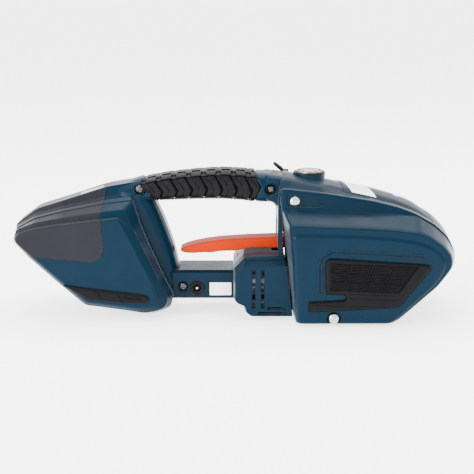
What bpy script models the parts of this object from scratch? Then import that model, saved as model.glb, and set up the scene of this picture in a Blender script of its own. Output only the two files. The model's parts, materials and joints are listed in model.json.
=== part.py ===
"""Battery strapping tool, built as separate pieces in one frame.

Every size below is in millimetres and is turned into Blender's metres by the shape helpers.
+X runs along the tool from the battery to the nose, +Y to the strap side and +Z up.
Z is 0 on the underside of the base plate. The last lines move every piece by CENTRING,
which puts the origin under the middle of the tool.
"""

import math

import bmesh
import bpy
from mathutils import Matrix, Vector

MM = 0.001
GAP = 0.3  # between two pieces that touch
WALL = 2.6  # plastic shell thickness
HANDLE_HOLLOW_X = -62.0  # the handle is solid from here to the battery housing
SIDES = 20  # facets of a round piece

# ---------------------------------------------------------------- driving dimensions

PLATE_THICK = 5.0
STRAP_TOP = 12.0  # top of the strap channel above the base plate
STRAP_Y = (19.0, 46.0)  # the channel runs along X between these

MOTOR_Z = 24.0
MOTOR_R = 18.0
MOTOR_X = (0.6, 56.0)
DRIVE_X = 91.0  # the drive shaft lies along Y here, at the motor's height
WHEEL_X = 70.15
WHEEL_Z = 21.5
WHEEL_R = 16.0
WHEEL_Y = (31.0, 42.0)
ECC_X = 118.0
ECC_Z = 34.0
ECC_THROW = 1.0

BELT_Y = (-39.0, -33.0)
DRIVE_PULLEY_R = 14.0
ECC_PULLEY_R = 9.0
BELT_THICK = 1.8

CHEEK_NEAR = (-20.0, -13.0)
CHEEK_FAR = (12.0, 18.0)
BEARING_R = 7.0
SHAFT_R = 4.0

BEVEL_TEETH = (9, 21)
SPUR_TEETH = (14, 28)
SPUR_MODULE = 1.0
SPUR_Y = (25.5, 30.5)

BUTTON_X = 54.0
BUTTON_R = 7.6
BEZEL_R = 11.5
BUTTON_TOP = 107.6

CELL_R = 9.2
CELL_LENGTH = 65.0
CELLS = ((-138.6, 58.4), (-119.0, 61.0), (-98.5, 62.0), (-109.5, 41.0))

RIM_Y = 24.0  # the centre housing ends here on both sides
COVER_FACE_Y = -48.5
PANEL_FACE_Y = -50.0
PAD_FACE_Y = -51.8
GEAR_COVER_Y = 48.2
GEAR_LOW = 13.0
CENTRING = (2.7, 1.15, 0.0)

Y_AXIS = Vector((0.0, 1.0, 0.0))
Z_AXIS = Vector((0.0, 0.0, 1.0))

# ---------------------------------------------------------------- scene and materials

for old in list(bpy.data.objects):
    bpy.data.objects.remove(old)

PARTS = bpy.data.collections.new("battery_strapping_tool")
CUTTERS = bpy.data.collections.new("cutters")
bpy.context.scene.collection.children.link(PARTS)
bpy.context.scene.collection.children.link(CUTTERS)

# name: (colour, roughness, metallic)
FINISHES = {
    "blue_shell": ((0.018, 0.062, 0.110), 0.38, 0.0),
    "grey_cap": ((0.060, 0.058, 0.070), 0.42, 0.0),
    "black_rubber": ((0.016, 0.015, 0.018), 0.62, 0.0),
    "black_plastic": ((0.020, 0.020, 0.022), 0.40, 0.0),
    "orange_lever": ((0.87, 0.115, 0.004), 0.35, 0.0),
    "steel": ((0.42, 0.42, 0.43), 0.34, 1.0),
    "bright_zinc": ((0.70, 0.70, 0.71), 0.25, 1.0),
    "copper_ring": ((0.62, 0.38, 0.28), 0.28, 1.0),
    "aluminium": ((0.58, 0.59, 0.60), 0.45, 1.0),
    "white_label": ((0.80, 0.80, 0.80), 0.50, 0.0),
    "blue_light": ((0.08, 0.09, 0.85), 0.20, 0.0),
    "green_glass": ((0.02, 0.16, 0.07), 0.10, 0.0),
    "board_green": ((0.02, 0.13, 0.06), 0.50, 0.0),
    "cell_wrap": ((0.05, 0.22, 0.10), 0.45, 0.0),
}


def material(finish):
    """The Principled material of this finish, made once."""
    if finish in bpy.data.materials:
        return bpy.data.materials[finish]
    colour, roughness, metallic = FINISHES[finish]
    made = bpy.data.materials.new(finish)
    made.use_nodes = True
    shader = made.node_tree.nodes["Principled BSDF"]
    shader.inputs["Base Color"].default_value = (*colour, 1.0)
    shader.inputs["Roughness"].default_value = roughness
    shader.inputs["Metallic"].default_value = metallic
    made.diffuse_color = (*colour, 1.0)
    return made


# ---------------------------------------------------------------- shape helpers


def new_object(name, mesh, collection):
    made = bpy.data.objects.new(name, mesh)
    collection.objects.link(made)
    return made


def from_bmesh(name, shape, collection=CUTTERS):
    """An object from a bmesh in millimetres, its faces turned outwards."""
    bmesh.ops.recalc_face_normals(shape, faces=shape.faces)
    bmesh.ops.scale(shape, vec=(MM, MM, MM), verts=shape.verts)
    mesh = bpy.data.meshes.new(name)
    shape.to_mesh(mesh)
    shape.free()
    return new_object(name, mesh, collection)


def box(name, low, high):
    shape = bmesh.new()
    size = [b - a for a, b in zip(low, high)]
    centre = [(a + b) / 2 for a, b in zip(low, high)]
    bmesh.ops.create_cube(shape, matrix=Matrix.Translation(centre) @ Matrix.Diagonal((*size, 1.0)))
    return from_bmesh(name, shape)


def cylinder(name, start, end, radius, end_radius=None, sides=SIDES):
    """A cylinder or cone between two points."""
    start, end = Vector(start), Vector(end)
    along = end - start
    turn = along.to_track_quat("Z", "Y").to_matrix().to_4x4()
    shape = bmesh.new()
    bmesh.ops.create_cone(
        shape,
        cap_ends=True,
        segments=sides,
        radius1=radius,
        radius2=radius if end_radius is None else end_radius,
        depth=along.length,
        matrix=Matrix.Translation((start + end) / 2) @ turn,
    )
    return from_bmesh(name, shape)


def loft(name, sections):
    """A closed solid through outlines with the same number of points each, as 3-D points."""
    shape = bmesh.new()
    rings = [[shape.verts.new(point) for point in section] for section in sections]
    for ring, after in zip(rings, rings[1:]):
        for i in range(len(ring)):
            j = (i + 1) % len(ring)
            shape.faces.new((ring[i], ring[j], after[j], after[i]))
    shape.faces.new(rings[0])
    shape.faces.new(rings[-1])
    shape.normal_update()
    bmesh.ops.triangulate(shape, faces=shape.faces)  # the sides needn't be flat
    return from_bmesh(name, shape)


def loft_y(name, levels):
    """A closed solid through XZ outlines, each at its own Y."""
    return loft(name, [[(x, y, z) for x, z in outline] for y, outline in levels])


def mirrored_levels(levels):
    """The levels given from the middle outwards, repeated on the far side."""
    near = [(-y, outline) for y, outline in reversed(levels)]
    return near + list(levels)


def baked(source, name):
    """The evaluated mesh of a curve or modified object, as a new object in its place."""
    bpy.context.view_layer.update()
    graph = bpy.context.evaluated_depsgraph_get()
    mesh = bpy.data.meshes.new_from_object(source.evaluated_get(graph))
    mesh.transform(source.matrix_world)
    bpy.data.objects.remove(source)
    shape = bmesh.new()
    shape.from_mesh(mesh)
    bmesh.ops.remove_doubles(shape, verts=shape.verts, dist=1e-6)
    bmesh.ops.recalc_face_normals(shape, faces=shape.faces)
    shape.to_mesh(mesh)
    shape.free()
    mesh.name = name
    return new_object(name, mesh, CUTTERS)


def plate_y(name, outline, y_low, y_high):
    """A flat plate with this XZ outline, between two Y values."""
    curve = bpy.data.curves.new(name + "_outline", "CURVE")
    curve.dimensions = "2D"
    curve.fill_mode = "BOTH"
    curve.extrude = (y_high - y_low) / 2 * MM
    spline = curve.splines.new("POLY")
    spline.points.add(len(outline) - 1)
    for point, (x, z) in zip(spline.points, outline):
        point.co = (x * MM, z * MM, 0.0, 1.0)
    spline.use_cyclic_u = True
    source = new_object(name + "_outline", curve, CUTTERS)
    middle = Matrix.Translation((0.0, (y_low + y_high) / 2 * MM, 0.0))
    source.matrix_world = middle @ Matrix.Rotation(math.pi / 2, 4, "X")
    return baked(source, name)


def turned(name, profile, centre, axis, sides=SIDES):
    """A turned piece: (radius, height) points down its outer side, round an axis through centre."""
    mesh = bpy.data.meshes.new(name + "_profile")
    points = [(radius * MM, 0.0, height * MM) for radius, height in profile]
    closed_ring = min(radius for radius, _ in profile) > 0
    edges = [(i, i + 1) for i in range(len(points) - 1)]
    if closed_ring:
        edges.append((len(points) - 1, 0))
    mesh.from_pydata(points, edges, [])
    source = new_object(name + "_profile", mesh, CUTTERS)
    screw = source.modifiers.new("Turn", "SCREW")
    screw.steps = sides
    screw.render_steps = sides
    screw.use_merge_vertices = True
    screw.merge_threshold = 1e-5
    turn = axis.to_track_quat("Z", "Y").to_matrix().to_4x4()
    source.matrix_world = Matrix.Translation(Vector(centre) * MM) @ turn
    return baked(source, name)


def tube(name, points, radius, ring=False):
    """A round wire through these points, with closed ends or joined into a ring."""
    curve = bpy.data.curves.new(name + "_path", "CURVE")
    curve.dimensions = "3D"
    curve.bevel_depth = radius * MM
    curve.bevel_resolution = 1
    curve.use_fill_caps = True
    spline = curve.splines.new("POLY")
    spline.points.add(len(points) - 1)
    spline.use_cyclic_u = ring
    for point, place in zip(spline.points, points):
        point.co = (*(Vector(place) * MM), 1.0)
    return baked(new_object(name + "_path", curve, CUTTERS), name)


def arc(centre, radius, start_deg, end_deg, steps):
    """Points of an arc in the XZ plane, both ends included."""
    angles = [math.radians(start_deg + (end_deg - start_deg) * i / steps) for i in range(steps + 1)]
    return [(centre[0] + radius * math.cos(a), centre[1] + radius * math.sin(a)) for a in angles]


def inset(outline, distance):
    """The outline moved inwards by a distance, point for point."""
    area = sum(a[0] * b[1] - b[0] * a[1] for a, b in zip(outline, outline[1:] + outline[:1]))
    side = 1.0 if area > 0 else -1.0
    moved = []
    for i, point in enumerate(outline):
        before = Vector(point) - Vector(outline[i - 1])
        after = Vector(outline[(i + 1) % len(outline)]) - Vector(point)
        normal_a = Vector((-before.y, before.x)).normalized() * side
        normal_b = Vector((-after.y, after.x)).normalized() * side
        middle = (normal_a + normal_b).normalized()
        reach = distance / max(0.35, middle.dot(normal_a))
        moved.append((point[0] + middle.x * reach, point[1] + middle.y * reach))
    return moved


def as_cutter(helper):
    helper.hide_render = True
    helper.display_type = "WIRE"
    return helper


def boolean(piece, other, operation):
    modifier = piece.modifiers.new(operation.title(), "BOOLEAN")
    modifier.operation = operation
    modifier.solver = "EXACT"
    modifier.object = as_cutter(other)


def cut(piece, *cutters):
    for cutter in cutters:
        boolean(piece, cutter, "DIFFERENCE")
    return piece


def join(piece, *others):
    for other in others:
        boolean(piece, other, "UNION")
    return piece


def keep_inside(piece, region):
    boolean(piece, region, "INTERSECT")
    return piece


def part(piece, finish, pivot=None):
    """Makes this object a sub-part: its material, its collection, its smooth sides and its origin."""
    CUTTERS.objects.unlink(piece)
    PARTS.objects.link(piece)
    piece.data.materials.clear()
    piece.data.materials.append(material(finish))
    if pivot is not None:
        origin = Vector(pivot) * MM
        piece.data.transform(Matrix.Translation(-origin))
        piece.location = origin
    piece.data.shade_smooth()
    piece.data.set_sharp_from_angle(angle=math.radians(32))
    return piece


# ---------------------------------------------------------------- outlines of the shells
# Each outline runs the same way round with the same number of points, so that outlines at different
# depths join point to point.

LOBE_LOW_FACE = [
    (-59.5, 15.5), (-61.0, 12.8), (-66.0, 11.0), (-72.0, 10.4), (-84.0, 12.0), (-97.0, 13.6),
    (-110.9, 15.5), (-131.0, 33.0), (-150.5, 50.5),
]
LOBE_LOW_BODY = [
    (-47.2, 16.5), (-49.5, 8.0), (-57.5, 4.2), (-68.0, 2.6), (-81.5, 5.2), (-96.0, 7.6),
    (-112.6, 9.8), (-134.2, 28.8), (-154.4, 47.4),
]
LOBE_TIP_BODY = [(-165.6, 57.8), (-167.0, 61.8)]
LOBE_BACK_BODY = [(-71.5, 71.0), (-66.0, 57.0), (-55.5, 33.0)]

# half depth: outline, from the middle of the tool outwards
LOBE_LEVELS = [
    (10.8, [*LOBE_TIP_BODY, (-165.2, 68.4), (-149.5, 80.0), (-131.5, 85.2), (-96.0, 96.9), (-74.0, 100.6),
            *LOBE_BACK_BODY, *LOBE_LOW_BODY]),
    (12.0, [*LOBE_TIP_BODY, (-164.0, 68.0), (-148.5, 77.0), (-131.0, 82.0), (-95.5, 90.3), (-76.0, 93.6),
            *LOBE_BACK_BODY, *LOBE_LOW_BODY]),
    (22.0, [(-164.6, 58.2), (-166.2, 62.0), (-162.6, 67.4), (-149.0, 74.8), (-129.8, 80.2), (-97.4, 86.6),
            (-77.0, 89.2), *LOBE_BACK_BODY, *LOBE_LOW_BODY]),
    (31.0, [(-162.6, 58.8), (-164.2, 62.6), (-160.8, 66.6), (-147.0, 72.2), (-128.6, 76.6), (-98.7, 81.5),
            (-82.0, 83.4), (-75.5, 69.0), (-69.5, 56.0), (-58.6, 33.0), (-50.5, 16.5), (-53.5, 9.5),
            (-60.5, 6.8), (-69.0, 5.4), (-82.0, 7.6), (-96.5, 9.6), (-112.0, 11.6), (-133.2, 30.2),
            (-153.0, 48.6)]),
    (36.0, [(-159.5, 59.8), (-160.6, 62.8), (-157.6, 65.4), (-146.0, 69.2), (-127.8, 73.6), (-98.8, 77.6),
            (-85.8, 79.1), (-80.0, 67.0), (-74.1, 54.6), (-63.6, 32.1), *LOBE_LOW_FACE]),
]

HANDLE_CORE = [
    (-84.0, 88.0), (-84.0, 95.0), (-72.0, 98.4), (-58.0, 100.0), (-40.0, 102.6), (-12.0, 104.6),
    (10.0, 103.6),
    (26.0, 103.0), (40.0, 102.4), (40.0, 90.0), (18.0, 90.4), (2.0, 92.0), (-20.0, 92.4), (-42.0, 91.4),
    (-56.0, 91.0), (-66.0, 90.6),
]
# The slanted column between the lobe and the hand window, and its foot on the bridge.
COLUMN = [
    (-92.0, 96.0), (-72.0, 102.6), (-69.8, 103.0), (-60.2, 84.0), (-55.1, 73.1), (-50.8, 61.4),
    (-47.1, 49.8),
    (-43.5, 34.1), (-40.0, 32.0), (-40.0, 12.6), (-64.0, 12.6), (-84.0, 58.0),
]
HANDLE_ROOT = [(19.4, 87.0), (19.4, 107.2), (33.0, 105.4), (48.0, 102.0), (48.0, 70.0), (30.4, 70.0),
               (30.4, 79.0),
               (27.0, 84.6)]
BRIDGE = [(-50.0, 12.0), (-50.0, 34.1), (4.0, 34.1), (4.0, 12.0)]
NACELLE = [
    (-3.0, 16.0), (-3.0, 38.0), (-1.0, 42.5), (5.0, 47.0), (10.0, 48.0), (35.2, 48.4), (40.8, 2.0),
    (9.0, 2.0),
    (5.6, 5.0), (4.6, 10.0), (-1.0, 12.0),
]
NACELLE_FACE = [
    (-1.6, 17.5), (-1.6, 36.0), (0.4, 38.6), (5.4, 41.0), (10.6, 42.0), (35.9, 42.4), (40.6, 3.6),
    (10.6, 3.6),
    (7.2, 6.6), (6.2, 11.4), (0.4, 13.6),
]

# The centre housing, the same for both halves; its lower edge stands on the base plate.
CENTRE_SIDE = [(157.0, 42.0), (148.5, 29.5), (134.5, 16.6), (121.0, 6.4), (112.0, 5.4), (38.0, 5.4)]
CENTRE_LEVELS = [
    (17.0, [(30.0, 52.0), (30.0, 90.0), (33.0, 105.6), (40.0, 104.2), (66.0, 99.6), (100.0, 92.2),
            (118.0, 87.2),
            (131.0, 82.0), (146.0, 73.0), (155.0, 64.5), (160.6, 54.0), (161.6, 45.6), *CENTRE_SIDE]),
    (20.0, [(30.0, 52.0), (30.0, 90.0), (31.6, 104.0), (38.7, 103.4), (64.5, 98.2), (99.7, 90.2),
            (117.0, 85.8),
            (130.0, 81.0), (145.0, 72.6), (154.4, 64.0), (160.0, 53.8), (161.0, 45.4), *CENTRE_SIDE]),
    (RIM_Y, [(30.0, 52.0), (30.0, 90.0), (30.6, 97.4), (34.0, 98.4), (66.0, 94.8), (99.6, 89.4),
             (117.0, 85.0),
             (130.0, 80.2), (144.6, 72.0), (153.8, 63.6), (159.4, 53.6), (160.4, 45.2), *CENTRE_SIDE]),
]

# The side cover, left edge first. RIM is its outline at the parting line, BAND below the dark step.
COVER_RIM = [
    (42.0, 1.5), (36.4, 50.0), (30.7, 97.0), (34.0, 98.4), (66.0, 94.8), (99.6, 89.4), (117.0, 85.0),
    (130.0, 80.2), (144.6, 72.0), (153.8, 63.6), (159.4, 53.6), (160.4, 45.2), (157.0, 41.0),
    (148.5, 29.5),
    (134.5, 16.6), (119.5, 4.6), (112.0, 1.5),
]
COVER_BAND = [
    (42.0, 1.5), (36.4, 50.0), (32.4, 83.6), (36.0, 84.2), (66.0, 82.4), (92.0, 81.2), (115.0, 80.0),
    (131.0, 78.2), (143.0, 70.8), (152.6, 63.0), (158.6, 53.4), (159.8, 45.2), (156.4, 41.0),
    (148.0, 29.5),
    (134.0, 16.8), (119.3, 4.8), (112.0, 1.5),
]
COVER_EDGE = [
    (42.2, 1.7), (37.0, 50.0), (33.8, 75.6), (37.0, 76.3), (66.0, 75.2), (90.0, 74.4), (113.0, 73.0),
    (130.0, 70.6), (140.4, 66.4), (149.4, 60.0), (154.8, 52.4), (155.6, 45.0), (152.6, 40.0),
    (145.2, 29.8),
    (132.0, 17.8), (118.6, 5.4), (112.0, 1.7),
]

COVER_PANEL = [
    (44.0, 3.6), (41.0, 50.0), (39.6, 67.4), (42.0, 68.0), (66.0, 67.2), (90.0, 66.4), (112.0, 64.8),
    (127.0, 62.8), (136.6, 59.6), (143.6, 55.0), (148.2, 49.6), (148.6, 44.6), (146.4, 39.6),
    (140.6, 31.0),
    (128.6, 20.0), (116.8, 8.0), (111.0, 3.8),
]


def above_strap(outline, rise):
    """A side cover outline cut off above the strap channel, for the gear cover on the other side."""
    low = GEAR_LOW + rise
    return [(39.6 + rise, low), *outline[1:14], (138.0 - 2 * rise, low + 6.6), (130.0 - 2 * rise, low)]


# The region that the end cap takes from the lobe, seen from the side.
CAP_REGION = [
    (-175.0, 49.6), (-149.1, 48.9), (-125.7, 46.9), (-106.5, 45.4), (-101.0, 47.0), (-98.2, 50.6),
    (-97.2, 56.0),
    (-97.9, 65.0), (-99.6, 78.0), (-97.2, 97.0), (-97.0, 110.0), (-175.0, 110.0),
]


def lobe_solid(name):
    return loft_y(name, mirrored_levels(LOBE_LEVELS))


def lobe_hollow(name):
    low = [(-51.6, 17.0), (-53.0, 11.6), (-68.0, 6.6), (-96.0, 11.4), (-111.4, 13.8), (-131.6, 31.6),
           (-151.6, 49.8)]
    back = [(-75.6, 70.0), (-70.0, 56.0), (-59.6, 33.0)]
    crest = [(-160.6, 61.0), (-160.6, 65.0), (-147.6, 75.0), (-130.6, 80.4), (-96.0, 88.0), (-80.0, 91.0)]
    shoulder = [(-159.6, 61.0), (-159.0, 64.0), (-146.6, 70.6), (-128.6, 75.2), (-97.6, 81.4),
                (-80.6, 84.0)]
    side = [(-156.6, 61.0), (-155.0, 63.0), (-145.6, 67.0), (-127.6, 71.0), (-98.6, 75.4), (-87.0, 76.6),
            (-83.6, 66.6), (-78.0, 54.6), (-67.6, 32.6), (-63.4, 18.6), (-64.4, 15.4), (-72.0, 13.2),
            (-96.6, 16.6),
            (-110.0, 18.6), (-130.0, 35.4), (-148.6, 51.6)]
    levels = [(9.0, crest + back + low), (21.0, shoulder + back + low), (36.0 - WALL, side)]
    return loft_y(name, mirrored_levels(levels))


def centre_solid(name):
    return loft_y(name, mirrored_levels(CENTRE_LEVELS))


def whole_housing(name):
    """Both half shells in one: the lobe, column, handle core, bridge, nacelle and centre housing."""
    whole = centre_solid(name)
    join(
        whole,
        loft_y("column_frame", mirrored_levels([(15.1, COLUMN), (17.1, inset(COLUMN, 1.0))])),
        loft_y("handle_core", mirrored_levels([(8.4, HANDLE_CORE), (13.4, inset(HANDLE_CORE, 3.4))])),
        loft_y("handle_root", mirrored_levels([(15.4, HANDLE_ROOT), (17.3, inset(HANDLE_ROOT, 1.4))])),
        loft_y("bridge_beam", mirrored_levels([(15.6, BRIDGE), (17.6, inset(BRIDGE, 1.6))])),
        loft_y("nacelle_shell", mirrored_levels([(16.0, NACELLE), (27.0, inset(NACELLE, 0.8)),
                                                 (34.0, NACELLE_FACE)])),
        lobe_solid("lobe_shell"),
    )
    cut(whole, *housing_hollows())
    return baked(whole, name)


def housing_hollows():
    """The space inside the shells, open towards the covers, the base and the end cap."""
    centre = loft_y(
        "centre_hollow",
        mirrored_levels([(14.0, inset(CENTRE_LEVELS[0][1], WALL + 1.4)),
                         (19.5, inset(CENTRE_LEVELS[1][1], WALL + 1.2)),
                         (RIM_Y + 2, inset(CENTRE_LEVELS[2][1], WALL + 0.6))]),
    )
    nacelle = box("nacelle_hollow", (-0.2, -30.5, 5.4), (33.0, 30.5, 38.4))
    motor_bay = cylinder("motor_bay", (0.2, 0, MOTOR_Z), (60, 0, MOTOR_Z), MOTOR_R + 1.0, sides=32)
    handle = box("handle_hollow", (HANDLE_HOLLOW_X, -9.5, 93.4), (44.0, 9.5, 102.4))
    bridge = box("bridge_hollow", (-62.0, -11.5, 15.0), (6.0, 11.5, 30.0))
    centre_floor = box("centre_floor", (50.0, -26.0, -1.0), (114.0, 26.0, 12.0))
    strap_way = box("strap_way", (20.0, 18.4, -2.0), (190.0, 60.0, STRAP_TOP + 1.0))
    lever_way = box("lever_way", (26.0, -10.2, 43.4), (40.0, 10.2, 72.4))
    return [lobe_hollow("lobe_hollow"), centre, nacelle, motor_bay, handle, bridge, centre_floor,
            strap_way, lever_way]


# ---------------------------------------------------------------- shells


def vents(side):
    """Two columns of slots in the nacelle's side and two rows under them."""
    slots = []
    for x in (12.4, 19.0):
        for row in range(5):
            z = 9.6 + row * 6.2
            slots.append(box(f"vent_{side}", (x - 1.3, side * 29.0, z), (x + 1.3, side * 36.0, z + 4.2)))
    for z in (2.6, 6.2):
        slots.append(box(f"vent_low_{side}", (24.0, side * 29.0, z + 2.4), (41.0, side * 36.0, z + 4.4)))
    return slots


def label_recess(name, x_range, z_range):
    return box(name, (x_range[0], -20.0, z_range[0]), (x_range[1], -16.6, z_range[1]))


LABEL_X = (-21.0, -3.8)
LABEL_Z = (14.6, 25.4)
JACK = (-30.0, 20.6)
JACK_R = 5.6
SCREW_R = 3.6
BRIDGE_SCREW = (-40.5, 21.7)
HANDLE_SCREWS = ((-72.0, 95.4, -13.0), (25.2, 95.4, -12.4))
COVER_TOP_SCREW = (42.0, 89.0)
COVER_LOW_SCREW = (70.2, 6.6)
PANEL_X = (66.0, 142.0)
DISPLAY_X = (-117.0, -99.6)
LED_X = 115.0


def build_housing():
    end_cut = plate_y("cap_way", inset(CAP_REGION, -GAP), -60.0, 60.0)
    whole = whole_housing("both_halves")
    for side, name in ((-1, "housing_near"), (1, "housing_far")):
        half = new_object(name, whole.data.copy(), CUTTERS)
        cut(half, box(f"{name}_other_half", (-200, -GAP / 2 if side < 0 else -80, -20),
                      (200, 80 if side < 0 else GAP / 2, 140)))
        cut(half, end_cut, *vents(side))
        cut(half, cylinder(f"{name}_button_way", (BUTTON_X, 0, 84), (BUTTON_X, 0, 120), BEZEL_R + GAP,
                           sides=32))
        cut(half, top_panel_solid(f"{name}_panel_way", GAP))
        if side > 0:
            cut(half, hang_lug_way("hang_lug_slot", GAP))
            cut(half, box("hang_pocket", (32.6, 15.0, 100.6), (41.0, 26.0, 110.0)))
        if side < 0:
            cut(half, label_recess("bridge_label_way", LABEL_X, LABEL_Z))
            cut(half, y_hole("jack_way", JACK, JACK_R + GAP, -20.0, -9.0))
            cut(half, y_hole("bridge_screw_way", BRIDGE_SCREW, SCREW_R + GAP, -20.0, -14.4))
            for i, (x, z, depth) in enumerate(HANDLE_SCREWS):
                cut(half, y_hole(f"handle_screw_way_{i}", (x, z), SCREW_R + GAP, -40.0, depth))
        part(half, "blue_shell")
    as_cutter(whole)


def y_hole(name, place, radius, y_low, y_high, sides=20):
    return cylinder(name, (place[0], y_low, place[1]), (place[0], y_high, place[1]), radius, sides=sides)


def build_end_cap():
    cap = lobe_solid("end_cap")
    keep_inside(cap, plate_y("cap_region", CAP_REGION, -60.0, 60.0))
    cut(cap, lobe_hollow("cap_hollow"))
    cut(cap, box("display_way", (DISPLAY_X[0] - GAP, -8.3, 80.0), (DISPLAY_X[1] + GAP, 8.3, 110.0)))
    part(cap, "grey_cap")


def cover_levels(rim, band, edge, panel, out, face_y, panel_y):
    """Levels of a D-shaped cover from its rim outwards; out is -1 for the near side, 1 for the far."""
    return [(out * (RIM_Y + GAP), rim), (out * (RIM_Y + 5.6), rim), (out * (RIM_Y + 6.4), band),
            (out * (face_y - 2.6), edge), (out * face_y, inset(edge, 1.4)),
            (out * (face_y + 0.01), inset(panel, -1.1)), (out * panel_y, panel)]


def cover_hollow(name, rim, band, edge, out, face_y):
    """The space under a cover; the short corner edges are left out so that the inset stays open."""
    rim, band, edge = ([p for i, p in enumerate(outline) if i not in (3, 11)] for outline in (rim, band,
                                                                                              edge))
    return loft_y(name, [(out * (RIM_Y - 2.0), inset(rim, WALL + 0.6)),
                         (out * (RIM_Y + 3.6), inset(rim, WALL + 0.6)),
                         (out * (RIM_Y + 7.6), inset(band, WALL + 0.6)),
                         (out * (face_y - WALL - 0.8), inset(edge, WALL + 1.2)),
                         (out * (face_y - WALL), inset(edge, WALL + 3.0))])


def build_covers():
    cover = loft_y("side_cover", cover_levels(COVER_RIM, COVER_BAND, COVER_EDGE, COVER_PANEL, -1,
                                              -COVER_FACE_Y,
                                              -PANEL_FACE_Y))
    cut(cover, cover_hollow("side_cover_hollow", COVER_RIM, COVER_BAND, COVER_EDGE, -1, -COVER_FACE_Y))
    cut(cover, y_hole("cover_top_screw_way", COVER_TOP_SCREW, SCREW_R + GAP, -60.0, -28.2))
    cut(cover, y_hole("cover_low_screw_way", COVER_LOW_SCREW, SCREW_R + GAP, -60.0, -48.0))
    part(cover, "blue_shell")

    rim, band = (above_strap(outline, 0.0) for outline in (COVER_RIM, COVER_BAND))
    edge = above_strap(COVER_EDGE, 0.4)
    gear = loft_y("gear_cover", cover_levels(rim, band, edge, above_strap(COVER_PANEL, 4.0), 1,
                                             GEAR_COVER_Y - 1.5,
                                             GEAR_COVER_Y))
    cut(gear, cover_hollow("gear_cover_hollow", rim, band, edge, 1, GEAR_COVER_Y - 1.5))
    cut(gear, box("gear_cover_mouth", (46.0, 18.0, 5.0), (128.0, GEAR_COVER_Y - 4.2, 20.0)))
    for i, place in enumerate(GEAR_SCREWS):
        cut(gear, y_hole(f"gear_screw_way_{i}", place, SCREW_R + GAP, GEAR_COVER_Y - 1.2,
                         GEAR_COVER_Y + 6.0))
    part(gear, "blue_shell")


GEAR_SCREWS = ((50.0, 66.0), (140.0, 52.0))


def top_panel_line(x):
    """Height of the housing's crest along the top panel."""
    crest = [(30.0, 105.6), (40.0, 104.2), (66.0, 99.6), (100.0, 92.2), (118.0, 87.2), (131.0, 82.0),
             (146.0, 73.0)]
    for (x0, z0), (x1, z1) in zip(crest, crest[1:]):
        if x <= x1:
            return z0 + (z1 - z0) * (x - x0) / (x1 - x0)
    return crest[-1][1]


def top_panel_solid(name, grow):
    stations = (PANEL_X[0] - grow, 82.0, 100.0, 118.0, 131.0, PANEL_X[1] + grow)
    half = 13.0 + grow
    sections = []
    for x in stations:
        top = top_panel_line(x) + 0.5 + (6.0 if grow else 0.0)
        low = top_panel_line(x) - 2.0 - grow
        sections.append([(x, -half, low), (x, half, low), (x, half, top - 0.4), (x, half - 1.0, top),
                         (x, -half + 1.0, top), (x, -half, top - 0.4)])
    return loft(name, sections)


def build_top():
    panel = top_panel_solid("top_panel", 0.0)
    led_z = top_panel_line(LED_X)
    cut(panel, cylinder("led_way", (LED_X, 0, led_z - 12), (LED_X, 0, led_z + 8), 2.6, sides=16))
    part(panel, "blue_shell")

    lens = cylinder("indicator_lens", (LED_X, 0, led_z - 1.7), (LED_X, 0, led_z + 1.0), 2.2, 2.0,
                    sides=16)
    part(lens, "blue_light")

    label = loft("top_label", [
        [(x, -10.4, top_panel_line(x) + 0.8), (x, 6.6, top_panel_line(x) + 0.8),
         (x, 6.6, top_panel_line(x) + 1.3), (x, -10.4, top_panel_line(x) + 1.3)]
        for x in (75.5, 88.0, 99.5)
    ])
    part(label, "white_label")

    window = loft("display_window", [
        [(x, -8.0, z - 3.0), (x, 8.0, z - 3.0), (x, 8.0, z), (x, -8.0, z)]
        for x, z in zip(DISPLAY_X, (89.9, 95.3))
    ])
    part(window, "green_glass")

    bezel = turned("button_bezel", [
        (BEZEL_R - 0.8, 107.0), (BEZEL_R, 106.0), (BEZEL_R, 96.5), (BUTTON_R + 0.5, 96.5),
        (BUTTON_R + 0.5, 106.4),
        (BUTTON_R + 1.2, 107.0)], (BUTTON_X, 0, 0), Z_AXIS, 32)
    part(bezel, "copper_ring")

    button = turned("thumb_button", [
        (0, BUTTON_TOP - 0.5), (4.6, BUTTON_TOP - 0.3), (6.6, BUTTON_TOP), (BUTTON_R, BUTTON_TOP - 0.8),
        (BUTTON_R, 97.0),
        (2.2, 97.0), (2.2, 95.6), (0, 95.6)], (BUTTON_X, 0, 0), Z_AXIS, 32)
    part(button, "steel", (BUTTON_X, 0, 97.0))

    switch = box("button_switch", (BUTTON_X - 6, -6, 86.0), (BUTTON_X + 6, 6, 92.6))
    part(switch, "black_plastic")

    board = box("control_board", (-26.0, -11.0, -0.8), (26.0, 11.0, 0.8))
    board.data.transform(Matrix.Translation(Vector((100.0, 0.0,
                                                    78.0)) * MM) @ Matrix.Rotation(math.radians(14), 4,
                                                                                   "Y"))
    part(board, "board_green")


def build_pads_and_grip():
    outline = [
        (63.5, 47.4), (64.6, 49.8), (66.6, 51.5), (100.0, 49.2), (135.0, 46.9), (138.2, 46.2),
        (138.6, 44.2),
        (127.6, 30.2), (117.6, 17.4), (115.0, 15.8), (84.0, 13.9), (52.6, 12.4), (52.0, 19.0),
        (77.6, 20.4),
        (79.6, 22.6), (77.6, 25.4), (64.6, 25.4),
    ]
    part(plate_y("cover_pad", outline, PAD_FACE_Y, PANEL_FACE_Y - GAP), "black_rubber")

    lobe_pad = [
        (-128.0, 28.6), (-107.6, 25.6), (-84.0, 22.8), (-68.6, 20.8), (-65.4, 19.2), (-64.4, 17.2),
        (-65.6, 15.2),
        (-69.0, 14.4), (-84.0, 14.8), (-108.5, 17.0),
    ]
    part(plate_y("lobe_pad", lobe_pad, -37.6, -36.0 - GAP), "black_rubber")

    part(grip_ring("grip_sleeve", 0.0), "black_rubber")


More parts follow.
